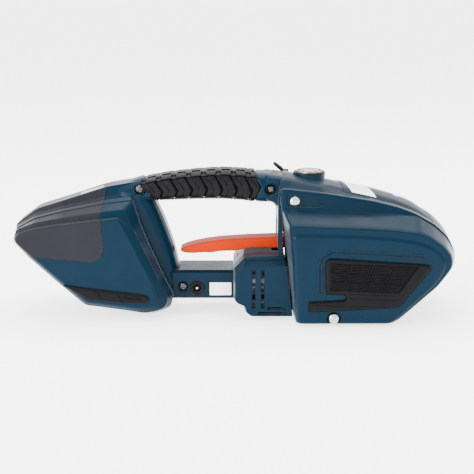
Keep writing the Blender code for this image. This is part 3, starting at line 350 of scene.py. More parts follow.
def machined(name, colour, roughness, along, streak_mm=0.8, depth_mm=0.008, anisotropic=0.4):
    """Metal with fine tool marks; along stretches the marks, one factor for each axis."""
    made = Nodes(name, roughness, 1.0, Anisotropic=anisotropic)
    marks = made.noise(streak_mm, 3.0, 0.6, along)
    made.colours(made.noise(14.0, 4.0), (0.3, scaled(colour, 0.86)), (0.7, scaled(colour, 1.08)))
    made.rough(marks, roughness - 0.08, roughness + 0.12)
    made.bumps((marks, depth_mm), (made.noise(6.0, 2.0), depth_mm * 2))
    return made.material


def label_stock(name):
    made = Nodes(name, 0.42, Coat_Weight=0.3, Coat_Roughness=0.2)
    made.colours(made.noise(7.0, 5.0), (0.3, (0.80, 0.80, 0.79)), (0.7, (0.88, 0.88, 0.88)))
    made.rough(made.noise(3.0, 3.0), 0.36, 0.5)
    made.bumps((made.noise(0.4, 2.0), 0.006))
    return made.material


def lit_lens(name, colour, strength):
    made = Nodes(name, 0.18, Emission_Color=(*colour, 1.0), Emission_Strength=strength, Coat_Weight=0.6)
    made.colours(made.noise(1.2, 3.0), (0.3, scaled(colour, 0.7)), (0.7, colour))
    made.rough(made.noise(2.0, 2.0), 0.12, 0.24)
    made.bumps((made.noise(0.6, 2.0), 0.01))
    return made.material


def display_glass(name):
    made = Nodes(name, 0.12, Coat_Weight=1.0, Coat_Roughness=0.04)
    made.colours(made.noise(5.0, 3.0, 0.4), (0.35, (0.006, 0.030, 0.016)), (0.62, (0.05, 0.30, 0.13)))
    made.rough(made.noise(6.0, 3.0), 0.08, 0.18)
    made.bumps((made.noise(2.5, 2.0), 0.01))
    return made.material


def circuit_board(name):
    made = Nodes(name, 0.45, Coat_Weight=0.4, Coat_Roughness=0.15)
    tracks = made.noise(1.6, 1.0, 0.3, (1.0, 0.25, 1.0))
    made.colours(
        tracks, (0.44, (0.012, 0.10, 0.045)), (0.47, (0.03, 0.20, 0.085)), (0.6, (0.014, 0.12, 0.05))
    )
    made.rough(made.noise(4.0, 3.0), 0.36, 0.55)
    made.bumps((tracks, 0.03))
    return made.material


BLUE = (0.0, 0.0080, 0.0172)
PLASTIC_BLUE = moulded("moulded_blue", BLUE, 0.30, 0.7, 0.010)
PLASTIC_GREY = moulded("moulded_grey", (0.0090, 0.0090, 0.0120), 0.34, 0.8, 0.012)
PLASTIC_BLACK = moulded("moulded_black", (0.003, 0.003, 0.0035), 0.38, 0.6, 0.010)
PLASTIC_ORANGE = moulded(
    "moulded_orange", (0.33, 0.0165, 0.0), 0.32, 0.9, 0.008, spread=0.04, specular=0.02, sheen=0.04
)
RUBBER_GRIP = rubbery("grip_rubber", (0.0022, 0.0020, 0.0027), 0.38)
RUBBER_BLACK = rubbery("black_rubber_skin", (0.0012, 0.0010, 0.0015), 0.40)
STEEL_FLAT = machined("ground_steel", (0.20, 0.20, 0.21), 0.34, (0.06, 1.0, 1.0))
STEEL_TURNED = machined("turned_steel", (0.22, 0.22, 0.23), 0.30, (1.0, 0.08, 1.0))
ZINC = machined("zinc_plating", (0.46, 0.47, 0.48), 0.20, (1.0, 1.0, 1.0), 0.5, 0.004, 0.1)
DARK_STEEL = machined(
    "blackened_screw_steel", (0.07, 0.07, 0.075), 0.34, (1.0, 1.0, 1.0), 0.5, 0.004, 0.1
)
BUTTON_METAL = machined("satin_button_metal", (0.42, 0.41, 0.41), 0.24, (1.0, 1.0, 0.1), 0.4, 0.004)
COPPER = machined("copper_toned_ring", (0.50, 0.25, 0.15), 0.24, (1.0, 1.0, 0.15), 0.5, 0.006)
ALUMINIUM = machined("cast_aluminium", (0.24, 0.245, 0.25), 0.46, (1.0, 1.0, 1.0), 0.9, 0.03, 0.0)
WRAP = moulded("cell_shrink_wrap", (0.05, 0.24, 0.10), 0.30, 2.4, 0.02, coat=0.4)
LABEL = label_stock("blank_label_stock")
LENS = lit_lens("indicator_light", (0.10, 0.08, 1.0), 16.0)
GLASS = display_glass("display_glass")
BOARD = circuit_board("circuit_board_resist")

FINISH_OF_SLOT = {
    "blue_shell": PLASTIC_BLUE,
    "grey_cap": PLASTIC_GREY,
    "black_rubber": RUBBER_BLACK,
    "black_plastic": PLASTIC_BLACK,
    "orange_lever": PLASTIC_ORANGE,
    "steel": STEEL_FLAT,
    "bright_zinc": ZINC,
    "copper_ring": COPPER,
    "aluminium": ALUMINIUM,
    "white_label": LABEL,
    "blue_light": LENS,
    "green_glass": GLASS,
    "board_green": BOARD,
    "cell_wrap": WRAP,
}
TURNED_NODES = (
    "drive_shaft", "eccentric_shaft", "wheel_axle", "tension_wheel", "clutch_pinion", "bevel_gear",
    "drive_bearing_near", "drive_bearing_far", "eccentric_bearing_near", "eccentric_bearing_far"
)


def finish_cad_nodes():
    """Materials and broken edges for the CAD pieces that stay as they are."""
    for entry in frame["record"]["subparts"]:
        node = frame["nodes"][entry["node"]]
        turned_steel = entry["node"] in TURNED_NODES
        material = STEEL_TURNED if turned_steel else FINISH_OF_SLOT[entry["material_slot"]]
        node.data.materials.clear()
        node.data.materials.append(material)
        edge = node.modifiers.new("Broken edges", "BEVEL")
        edge.width = 0.3 * MM
        edge.segments = 2
        edge.limit_method = "ANGLE"
        edge.angle_limit = math.radians(40)
        edge.harden_normals = True


finish_cad_nodes()


# ---------------------------------------------------------------- outlines of the shells, in the XZ plane
# Outlines of one shell run the same way round with as many points, so that they join point to point.

LOBE_LOW_FACE = [
    (-59.5, 15.5), (-61.0, 12.8), (-66.0, 11.0), (-72.0, 10.4), (-84.0, 12.0), (-97.0, 13.6),
    (-110.9, 15.5), (-131.0, 33.0), (-150.5, 50.5),
]
LOBE_LOW_BODY = [
    (-47.2, 16.5), (-49.5, 8.0), (-57.5, 4.2), (-68.0, 2.6), (-81.5, 5.2), (-96.0, 7.6),
    (-112.6, 9.8), (-134.2, 28.8), (-154.4, 47.4),
]
LOBE_LOW_MIDDLE = [
    (-50.5, 16.5), (-53.5, 9.5), (-60.5, 6.8), (-69.0, 5.4), (-82.0, 7.6), (-96.5, 9.6),
    (-112.0, 11.6), (-133.2, 30.2), (-153.0, 48.6),
]
LOBE_BACK_BODY = [(-71.5, 71.0), (-66.0, 57.0), (-55.5, 33.0)]
LOBE_BACK_MIDDLE = [(-75.5, 69.0), (-69.5, 56.0), (-58.6, 33.0)]
LOBE_BACK_FACE = [(-80.0, 67.0), (-74.1, 54.6), (-63.6, 32.1)]
LOBE_CREST = [
    (-163.6, 57.4), (-165.2, 61.2), (-164.8, 68.8), (-149.5, 80.0), (-131.5, 85.6), (-96.0, 96.9),
    (-74.0, 100.6), *LOBE_BACK_BODY, *LOBE_LOW_BODY,
]
LOBE_SHOULDER = [
    (-163.6, 57.4), (-165.2, 61.2), (-163.8, 68.4), (-148.5, 77.4), (-131.0, 82.2), (-95.5, 90.6),
    (-76.0, 93.9), *LOBE_BACK_BODY, *LOBE_LOW_BODY,
]
LOBE_SLOPE = [
    (-162.8, 57.8), (-164.4, 61.6), (-162.4, 68.0), (-149.0, 75.4), (-129.8, 80.4), (-97.4, 86.6),
    (-77.0, 89.2), *LOBE_BACK_BODY, *LOBE_LOW_BODY,
]
LOBE_BROW = [
    (-161.4, 58.6), (-163.0, 62.8), (-160.8, 68.6), (-147.0, 73.6), (-128.6, 77.0), (-98.7, 81.5),
    (-82.0, 83.4), *LOBE_BACK_MIDDLE, *LOBE_LOW_MIDDLE,
]
LOBE_BROW_FOOT = [
    (-162.0, 58.8), (-163.2, 62.6), (-159.6, 66.8), (-146.4, 70.6), (-128.4, 73.5), (-98.8, 76.9),
    (-84.0, 78.2), *LOBE_BACK_MIDDLE, *LOBE_LOW_MIDDLE,
]
LOBE_FACE_EDGE = [
    (-160.2, 59.6), (-161.4, 62.8), (-158.4, 66.5), (-146.0, 70.2), (-127.8, 73.1), (-98.8, 76.5),
    (-85.6, 77.9), *LOBE_BACK_FACE, *LOBE_LOW_FACE,
]

HANDLE_CORE = [
    (-84.0, 88.0), (-84.0, 95.0), (-72.0, 98.4), (-58.0, 100.0), (-40.0, 102.6), (-12.0, 104.6),
    (10.0, 103.6), (26.0, 103.0), (40.0, 102.4), (40.0, 90.0), (18.0, 90.4), (2.0, 92.0), (-20.0, 92.4),
    (-42.0, 91.4), (-56.0, 91.0), (-66.0, 90.6),
]
COLUMN = [
    (-92.0, 96.0), (-72.0, 102.6), (-69.8, 103.0), (-60.2, 84.0), (-55.1, 73.1), (-50.8, 61.4),
    (-47.1, 49.8), (-43.5, 34.1), (-40.0, 32.0), (-40.0, 12.6), (-64.0, 12.6), (-84.0, 58.0),
]
HANDLE_ROOT = [
    (19.4, 87.0), (19.4, 107.2), (33.0, 105.4), (48.0, 102.0), (48.0, 70.0), (30.4, 70.0), (30.4, 79.0),
    (27.0, 84.6),
]
BRIDGE = [(-50.0, 12.0), (-50.0, 34.1), (4.0, 34.1), (4.0, 12.0)]
NACELLE = [
    (-3.0, 14.0), (-3.0, 38.6), (5.2, 47.0), (12.0, 48.0), (36.0, 48.4), (41.5, 2.0), (9.0, 2.0),
    (5.2, 5.0), (4.8, 9.6), (-0.6, 11.6),
]
NACELLE_FACE = [
    (-1.4, 15.6), (-1.4, 35.0), (5.6, 41.4), (12.4, 42.0), (36.6, 42.4), (41.2, 3.6), (10.6, 3.6),
    (6.8, 6.4), (6.4, 11.0), (0.8, 13.2),
]
CENTRE_SIDE = [(157.0, 42.0), (148.5, 29.5), (134.5, 16.6), (121.0, 6.4), (112.0, 5.4), (38.0, 5.4)]
CENTRE_TOP = [
    (30.0, 52.0), (30.0, 90.0), (33.0, 105.6), (40.0, 104.2), (66.0, 99.6), (100.0, 92.2), (118.0, 87.2),
    (131.0, 82.0), (146.0, 73.0), (155.0, 64.5), (160.6, 54.0), (161.6, 45.6), *CENTRE_SIDE,
]
CENTRE_TURN = [
    (30.0, 52.0), (30.0, 90.0), (31.6, 104.0), (38.7, 103.4), (64.5, 98.2), (99.7, 90.2), (117.0, 85.8),
    (130.0, 81.0), (145.0, 72.6), (154.4, 64.0), (160.0, 53.8), (161.0, 45.4), *CENTRE_SIDE,
]
CENTRE_RIM = [
    (30.0, 52.0), (30.0, 90.0), (30.6, 97.4), (34.0, 98.4), (66.0, 94.8), (99.6, 89.4), (117.0, 85.0),
    (130.0, 80.2), (144.6, 72.0), (153.8, 63.6), (159.4, 53.6), (160.4, 45.2), *CENTRE_SIDE,
]
CAP_REGION = [
    (-175.0, 49.6), (-149.1, 48.9), (-125.7, 46.9), (-106.5, 45.4), (-101.0, 47.0), (-98.2, 50.6),
    (-97.2, 56.0), (-97.9, 65.0), (-99.6, 78.0), (-97.2, 97.0), (-97.0, 110.0), (-175.0, 110.0),
]

RIM_Y = 24.0
WALL = 2.6
SEAM = 0.3
STRAP_TOP = 12.0
MOTOR_Z, MOTOR_R = 24.0, 18.0
BUTTON_X = 54.0


def plate_y(name, outline, y_low, y_high, corner=0.0):
    """A flat plate with this XZ outline, between two Y values."""
    outline = rounded(outline, corner) if corner else outline
    return loft(name, [[(x, y, z) for x, z in outline] for y in (y_low, y_high)])


def sunk(outline, depth, first=2, last=6):
    """The outline with its crest points lowered."""
    return [(x, z - depth if first <= i <= last else z) for i, (x, z) in enumerate(outline)]


def lobe_levels():
    """The battery lobe from the middle outwards: crest, riser, two grooved slopes, brow, ledge, face."""
    return [
        (10.6, LOBE_CREST, 0.6),
        (11.6, LOBE_SHOULDER, 0.5),
        (15.8, mixed(LOBE_SHOULDER, LOBE_SLOPE, 0.40), 0.2),
        (16.1, sunk(mixed(LOBE_SHOULDER, LOBE_SLOPE, 0.43), 0.7), 0.2),
        (17.1, sunk(mixed(LOBE_SHOULDER, LOBE_SLOPE, 0.53), 0.7), 0.2),
        (17.4, mixed(LOBE_SHOULDER, LOBE_SLOPE, 0.56), 0.2),
        (22.4, LOBE_SLOPE, 0.4),
        (22.9, sunk(LOBE_SLOPE, 0.9), 0.4),
        (30.8, LOBE_BROW, 0.7),
        (31.8, LOBE_BROW_FOOT, 0.5),
        (35.1, mixed(LOBE_BROW_FOOT, LOBE_FACE_EDGE, 0.8), 0.5),
        (36.0, inset(LOBE_FACE_EDGE, 0.6), 0.4),
    ]


def lobe_solid(name):
    return shell_y(name, mirrored(capped(lobe_levels())), corner=2.6, steps=3)


def lobe_hollow(name):
    low = [(-51.6, 17.0), (-53.0, 11.6), (-68.0, 6.6), (-96.0, 11.4), (-111.4, 13.8), (-131.6, 31.6),
           (-151.6, 49.8)]
    back = [(-75.6, 70.0), (-70.0, 56.0), (-59.6, 33.0)]
    crest = [(-160.6, 61.0), (-160.6, 65.0), (-147.6, 74.4), (-130.6, 79.4), (-96.0, 87.4), (-80.0, 90.4)]
    shoulder = [
        (-159.6, 61.0), (-159.0, 64.0), (-146.6, 70.4), (-128.6, 74.6), (-97.6, 79.6), (-80.6, 82.0)
    ]
    side = [
        (-156.6, 61.0), (-155.0, 63.0), (-145.6, 67.0), (-127.6, 70.0), (-98.6, 73.4), (-87.0, 74.6),
        (-83.6, 66.6), (-78.0, 54.6), (-67.6, 32.6), (-63.4, 18.6), (-64.4, 15.4), (-72.0, 13.2),
        (-96.6, 16.6), (-110.0, 18.6), (-130.0, 35.4), (-148.6, 51.6)
    ]
    levels = [
        (9.0, crest + back + low, 0.0), (21.0, shoulder + back + low, 0.0), (36.0 - WALL, side, 0.0)
    ]
    return loft(name, [[(x, y, z) for x, z in outline] for y, outline, _ in mirrored(levels)])


def nacelle_solid(name):
    foot = inset(NACELLE, 0.8)
    return shell_y(name, mirrored(capped([
        (16.0, NACELLE, 0.4),
        (26.4, foot, 0.5),
        (28.0, mixed(foot, NACELLE_FACE, 0.22), 0.3),
        (28.3, mixed(foot, NACELLE_FACE, 0.34), 0.3),
        (30.4, mixed(foot, NACELLE_FACE, 0.52), 0.3),
        (30.7, mixed(foot, NACELLE_FACE, 0.64), 0.3),
        (34.0, NACELLE_FACE, 0.6),
    ], ease=0.6, lip=1.0)), corner=1.2)


CENTRE_RUN = (2, 11)  # the points of a centre outline that make its upper line
ROOF_RISE, ROOF_FALL = 1.2, 0.6


def roof_levels():
    """The centre housing's outlines from the middle outwards, with a low roof between its shoulders."""
    first, last = CENTRE_RUN
    return [
        (4.0, sunk(CENTRE_TOP, -ROOF_RISE, first, last)),
        (15.6, sunk(CENTRE_TOP, ROOF_FALL, first, last)),
        (19.2, sunk(CENTRE_TURN, ROOF_FALL, first, last)),
        (RIM_Y, CENTRE_RIM),
    ]


def centre_solid(name):
    return shell_y(
        name,
        mirrored([(y, outline, ease) for (y, outline), ease in zip(roof_levels(), (3.0, 2.2, 2.0, 0.0))]),
        corner=4.0
    )


def line_height(outline, x):
    """Height of a centre outline's upper line at x."""
    run = outline[CENTRE_RUN[0]:CENTRE_RUN[1] + 1]
    for (x0, z0), (x1, z1) in zip(run, run[1:]):
        if x <= x1:
            return z0 + (z1 - z0) * (x - x0) / (x1 - x0)
    return run[-1][1]


def roof_height(x, y):
    """Height of the roof over a point of the plan, its facets averaged out along X."""
    levels = roof_levels()
    y = abs(y)

    def at(station):
        if y <= levels[0][0]:
            return line_height(levels[0][1], station)
        for (y0, low), (y1, high) in zip(levels, levels[1:]):
            if y <= y1:
                share = (y - y0) / (y1 - y0)
                return line_height(low, station) * (1 - share) + line_height(high, station) * share
        return line_height(levels[-1][1], station)

    return sum(at(x + step) for step in (-4.0, -2.0, 0.0, 2.0, 4.0)) / 5


def window_frame(name):
    """The rounded band of the column round the hand window."""
    return shell_y(name, mirrored(capped([
        (6.0, COLUMN, 1.0),
        (11.6, inset(COLUMN, 1.6), 1.6),
        (15.4, inset(COLUMN, 4.6), 1.6),
        (17.2, inset(COLUMN, 8.4), 1.2),
    ])), corner=5.0, steps=5)


def housing_hollows():
    """The space inside the shells, open to the covers, the base and the end cap."""
    def centre_level(y, outline, wall):
        return [(x, y, z) for x, z in inset(outline, wall)]

    levels = [
        (14.0, CENTRE_TOP, WALL + 1.4), (19.5, CENTRE_TURN, WALL + 1.2),
        (RIM_Y + 2.0, CENTRE_RIM, WALL + 0.6)
    ]
    levels = [(-y, outline, wall) for y, outline, wall in reversed(levels)] + levels
    return [
        lobe_hollow("lobe_hollow"),
        loft("centre_hollow", [centre_level(*level) for level in levels]),
        box("nacelle_hollow", (0.4, -30.0, 5.4), (33.0, 30.0, 35.4)),
        rod("motor_bay", (0.2, 0.0, MOTOR_Z), (60.0, 0.0, MOTOR_Z), MOTOR_R + 1.0),
        plate_y("handle_hollow", inset(HANDLE_CORE, WALL), -9.5, 9.5),
        box("bridge_hollow", (-62.0, -11.5, 15.0), (6.0, 11.5, 30.0)),
        box("centre_floor", (50.0, -26.0, -1.0), (114.0, 26.0, 12.0)),
        box("strap_way", (20.0, 18.4, -2.0), (190.0, 60.0, STRAP_TOP + 1.0)),
        box("lever_way", (26.0, -10.2, 43.4), (40.0, 10.2, 72.4)),
    ]


def side_hole(name, place, radius, y_low, y_high):
    return rod(name, (place[0], y_low, place[1]), (place[0], y_high, place[1]), radius)


def dished_hole(name, place, radius, face_y, depth_y, out=-1.0, rim=0.9):
    """A round recess with a chamfered mouth at face_y, down to depth_y."""
    profile = [
        (0.0, radius), (abs(depth_y - face_y) - rim, radius), (abs(depth_y - face_y), radius + rim),
        (abs(depth_y - face_y) + 6.0, radius + rim)
    ]
    return turned(name, profile, (place[0], depth_y, place[1]), (0.0, out, 0.0), 40)


VENT_COLUMNS = (12.4, 19.0)
VENT_ROWS = 5


def vents(side):
    """Two tall louvred slots and two long low ones: a shallow recess with openings between its ribs."""
    def slot(x0, x1, depth, z0, z1):
        y0, y1 = sorted((side * depth, side * 37.0))
        return box("vent", (x0, y0, z0), (x1, y1, z1))

    cutters = []
    for x in VENT_COLUMNS:
        cutters.append(slot(x - 1.6, x + 1.6, 32.6, 9.4, 39.0 - 0.2))
        for row in range(VENT_ROWS):
            z = 9.8 + row * 6.0
            cutters.append(slot(x - 1.1, x + 1.1, 29.0, z, z + 4.4))
    for z, x0 in ((5.0, 15.4), (8.8, 22.4)):
        cutters.append(slot(x0, 36.6, 32.8, z - 0.4, z + 2.0))
        cutters.append(slot(x0 + 0.6, 32.4, 29.0, z, z + 1.6))
    return cutters


LABEL_X, LABEL_Z = (-21.0, -3.8), (14.6, 25.4)
JACK = (-30.0, 20.6)
BRIDGE_SCREW = (-40.5, 21.7)
HANDLE_SCREWS = ((-72.0, 95.4, -13.0), (25.2, 95.4, -12.4))
HANG_PIVOT = (37.0, 20.5, 102.4)


def build_housing():
    whole = centre_solid("housing_shell")
    join(
        whole, window_frame("window_frame"),
        shell_y(
            "handle_core",
            mirrored(capped([(8.4, HANDLE_CORE, 1.0), (13.4, inset(HANDLE_CORE, 3.4), 0.8)]))
        ),
        shell_y(
            "handle_root",
            mirrored(
                capped(
                    [
                        (9.0, HANDLE_ROOT, 2.0), (14.6, inset(HANDLE_ROOT, 0.8), 1.6),
                        (17.3, inset(HANDLE_ROOT, 2.4), 0.8)
                    ]
                )
            )
        ),
        shell_y(
            "bridge_beam", mirrored(capped([(15.0, BRIDGE, 0.8), (17.6, inset(BRIDGE, 1.6), 0.6)])),
            corner=0.4
        ), nacelle_solid("nacelle_shell"), lobe_solid("lobe_shell"),
    )
    cut(whole, *housing_hollows())
    cut(whole, plate_y("cap_way", inset(CAP_REGION, -SEAM), -60.0, 60.0, corner=2.0))
    cut(whole, rod("button_way", (BUTTON_X, 0.0, 84.0), (BUTTON_X, 0.0, 120.0), 11.8))
    for side, name, node in ((-1, "housing_near_shell", "housing_near"),
                             (1, "housing_far_shell", "housing_far")):
        half = copy_of(whole, name)
        low, high = (-SEAM / 2, 80.0) if side < 0 else (-80.0, SEAM / 2)
        cut(half, box("other_half", (-200.0, low, -20.0), (200.0, high, 140.0)))
        cut(half, top_panel_way("panel_way"))
        for vent in vents(side):
            cut(half, vent)
        if side < 0:
            cut(half, box("label_way", (LABEL_X[0], -20.0, LABEL_Z[0]), (LABEL_X[1], -16.6, LABEL_Z[1])))
            cut(half, side_hole("jack_way", JACK, 5.9, -20.0, -9.0))
            cut(half, dished_hole("bridge_screw_way", BRIDGE_SCREW, 4.1, -17.6, -14.4, rim=0.5))
            for x, z, depth in HANDLE_SCREWS:
                cut(half, dished_hole("handle_screw_way", (x, z), 4.3, -17.2, depth))
        else:
            x, y, z = HANG_PIVOT
            cut(half, box("lug_slot", (x - 2.7, y - 1.2, z - 5.3), (x + 2.7, y + 1.2, z + 2.9)))
            cut(half, box("hang_pocket", (32.6, 15.0, 100.6), (41.0, 26.0, 110.0)))
        shown(half, PLASTIC_BLUE, replaces=[node])
    bpy.data.objects.remove(whole)


def roof_patch(name, x_start, x_end, y_range, low, high, edge=0.5, steps=(26, 14)):
    """A slab that lies on the roof; x_start and x_end are (at y = 0, lean for each millimetre of y)."""
    sections = []
    for i in range(steps[0] + 1):
        share = i / steps[0]
        ring = []
        for k in range(steps[1] + 1):
            y = y_range[0] + (y_range[1] - y_range[0]) * k / steps[1]
            x = (x_start[0] + x_start[1] * y) * (1 - share) + (x_end[0] + x_end[1] * y) * share
            side = min(k, steps[1] - k, i, steps[0] - i)
            ring.append((x, y, roof_height(x, y) + high - (edge if side == 0 else 0.0)))
        ring += [(x, y, roof_height(x, y) + low) for x, y, _ in reversed(ring)]
        sections.append(ring)
    return loft(name, sections)


PANEL_START, PANEL_END, PANEL_HALF = (76.5, -0.10), (136.0, -0.40), 19.6
LED_X = 119.5


def top_panel_way(name):
    return roof_patch(
        name, (PANEL_START[0] - 0.4, PANEL_START[1]), (PANEL_END[0] + 0.4, PANEL_END[1]),
        (-PANEL_HALF - 0.4, PANEL_HALF + 0.4), -1.2, 8.0, edge=0.0
    )


def build_end_cap():
    cap = lobe_solid("battery_end_cap")
    within(cap, plate_y("cap_region", CAP_REGION, -60.0, 60.0, corner=2.0))
    cut(cap, lobe_hollow("cap_hollow"))
    cut(cap, box("display_way", (-117.3, -8.3, 80.0), (-99.3, 8.3, 110.0)))
    shown(cap, PLASTIC_GREY, replaces=["end_cap"])


# ---------------------------------------------------------------- covers

COVER_RIM = [
    (42.0, 1.5), (36.4, 50.0), (30.7, 97.0), (34.0, 98.4), (66.0, 94.8), (99.6, 89.4), (117.0, 85.0),
    (130.0, 80.2), (144.6, 72.0), (153.8, 63.6), (159.4, 53.6), (160.4, 45.2), (157.0, 41.0),
    (148.5, 29.5), (134.5, 16.6), (119.5, 4.6), (112.0, 1.5),
]
COVER_BAND = [
    (42.0, 1.5), (36.6, 50.0), (32.8, 83.6), (36.4, 84.2), (66.0, 82.4), (92.0, 81.2), (115.0, 80.0),
    (131.0, 78.2), (143.0, 70.8), (152.6, 63.0), (158.6, 53.4), (159.8, 45.2), (156.4, 41.0),
    (148.0, 29.5), (134.0, 16.8), (119.3, 4.8), (112.0, 1.5),
]
COVER_EDGE = [
    (42.6, 1.7), (39.6, 50.0), (37.2, 75.6), (40.0, 76.3), (66.0, 75.2), (90.0, 74.4), (113.0, 73.0),
    (130.0, 70.6), (140.4, 66.4), (149.4, 60.0), (154.8, 52.4), (155.6, 45.0), (152.6, 40.0),
    (145.2, 29.8), (132.0, 17.8), (118.6, 5.4), (112.0, 1.7),
]
COVER_PANEL = [
    (45.6, 3.8), (42.6, 50.0), (41.0, 66.4), (43.4, 67.6), (66.0, 67.0), (90.0, 66.2), (112.0, 64.6),
    (127.0, 62.6), (136.6, 59.4), (143.6, 54.8), (148.0, 49.4), (148.4, 44.4), (146.2, 39.4),
    (140.4, 31.0), (128.4, 20.0), (116.6, 8.2), (111.0, 4.0),
]
GEAR_LOW = 13.0
COVER_FACE_Y, PANEL_FACE_Y = 48.5, 50.0
GEAR_FACE_Y, GEAR_PANEL_Y = 46.7, 48.2
COVER_LOW_SCREW = (70.2, 6.6)
GEAR_SCREWS = ((50.0, 66.0), (140.0, 52.0))
PAD_OUTLINE = [
    (63.5, 47.4), (64.6, 49.8), (66.6, 51.5), (100.0, 49.2), (135.0, 46.9), (138.2, 46.2), (138.6, 44.2),
    (127.6, 30.2), (117.6, 17.4), (115.0, 15.8), (84.0, 13.9), (52.6, 12.4), (52.0, 19.0), (77.6, 20.4),
    (79.6, 22.6), (77.6, 25.4), (64.6, 25.4),
]
PAD_GROOVE = [
    (58.4, 25.2), (58.0, 47.2), (60.2, 53.0), (67.4, 57.8), (100.0, 56.1), (133.8, 54.2), (133.9, 51.2),
    (100.0, 53.1), (68.4, 54.7), (62.9, 51.2), (61.2, 46.9), (61.6, 25.2),
]


def above_strap(outline, rise):
    """A cover outline cut off above the strap channel, for the gear cover."""
    low = GEAR_LOW + rise
    return [(39.6 + rise, low), *outline[1:14], (138.0 - 2 * rise, low + 6.6), (130.0 - 2 * rise, low)]


def cover_solid(name, out, rim, band, edge, panel, face_y, panel_y):
    """A deep D-shaped cover from its rim outwards: rim strip, step, sloped band, face and raised panel."""
    levels = [
        (RIM_Y + 0.3, rim, 0.0),
        (RIM_Y + 4.4, rim, 1.2),
        (RIM_Y + 5.4, inset(rim, 1.6), 0.5),
        (RIM_Y + 6.2, band, 0.9),
        (face_y - 2.4, edge, 1.3),
        (face_y, inset(edge, 1.6), 0.8),
        (face_y + 0.05, inset(panel, -1.5), 0.4),
        (panel_y - 0.5, inset(panel, -0.4), 0.5),
        (panel_y, inset(panel, 0.5), 0.0),
    ]
    return shell_y(name, [(out * y, outline, ease) for y, outline, ease in levels], corner=3.4)


def cover_hollow(name, rim, band, edge, out, face_y):
    """The space under a cover; the short corner edges are left out so that the inset stays open."""
    kept = [i for i in range(len(rim)) if i not in (3, 11)]
    rim, band, edge = ([outline[i] for i in kept] for outline in (rim, band, edge))
    levels = [
        (RIM_Y - 2.0, inset(rim, WALL + 0.6)), (RIM_Y + 1.6, inset(rim, WALL + 0.6)),
        (RIM_Y + 2.2, inset(band, WALL + 0.6)), (face_y - WALL - 0.8, inset(edge, WALL + 1.8)),
        (face_y - WALL, inset(edge, WALL + 3.4))
    ]
    return loft(name, [[(x, out * y, z) for x, z in outline] for y, outline in levels])


def build_side_cover():
    cover = cover_solid(
        "belt_side_cover", -1, COVER_RIM, COVER_BAND, COVER_EDGE, COVER_PANEL, COVER_FACE_Y, PANEL_FACE_Y
    )
    cut(cover, cover_hollow("cover_hollow", COVER_RIM, COVER_BAND, COVER_EDGE, -1, COVER_FACE_Y))
    pocket = [
        (36.4, 85.4), (34.8, 93.4), (37.0, 95.6), (46.0, 94.9), (58.0, 93.2), (62.0, 86.4), (58.0, 84.9)
    ]
    cut(cover, plate_y("screw_pocket", pocket, -60.0, -28.2, corner=1.2))
    cut(cover, dished_hole("low_screw_way", COVER_LOW_SCREW, 4.6, -48.5, -47.0, rim=0.8))
    cut(cover, plate_y("pad_seat", inset(PAD_OUTLINE, -0.8), -60.0, -48.9, corner=1.6))
    ridge = plate_y("pad_ridge", PAD_GROOVE, -50.5, -49.0, corner=1.4)
    cut(ridge, plate_y("ridge_channel", inset(PAD_GROOVE, 0.75), -60.0, -50.02, corner=0.8))
    join(cover, ridge)
    cut(cover, plate_y("ridge_channel", inset(PAD_GROOVE, 0.85), -60.0, -49.5, corner=0.8))
    shown(cover, PLASTIC_BLUE, replaces=["side_cover"])


def build_gear_cover():
    outlines = [above_strap(COVER_RIM, 0.0), above_strap(COVER_BAND, 0.0), above_strap(COVER_EDGE, 0.4)]
    panel = above_strap(COVER_PANEL, 4.0)
    cover = cover_solid("gear_side_cover", 1, *outlines, panel, GEAR_FACE_Y, GEAR_PANEL_Y)
    cut(cover, cover_hollow("gear_hollow", *outlines, 1, GEAR_FACE_Y))
    cut(cover, box("gear_mouth", (46.0, 18.0, 5.0), (128.0, GEAR_PANEL_Y - 4.2, 20.0)))
    for place in GEAR_SCREWS:
        cut(
            cover,
            dished_hole("gear_screw_way", place, 4.1, GEAR_PANEL_Y, GEAR_PANEL_Y - 1.2, out=1.0, rim=0.5)
        )
    for k in range(5):
        low = 24.0 + k * 5.4
        bar = [(70.0 + k * 1.4, low), (71.8 + k * 1.4, low + 2.6), (124.0 - k * 0.8, low + 2.6),
               (126.0 - k * 0.8, low)]
        cut(cover, plate_y("gear_groove", bar, GEAR_PANEL_Y - 0.7, 60.0, corner=0.9))
    shown(cover, PLASTIC_BLUE, replaces=["gear_cover"])


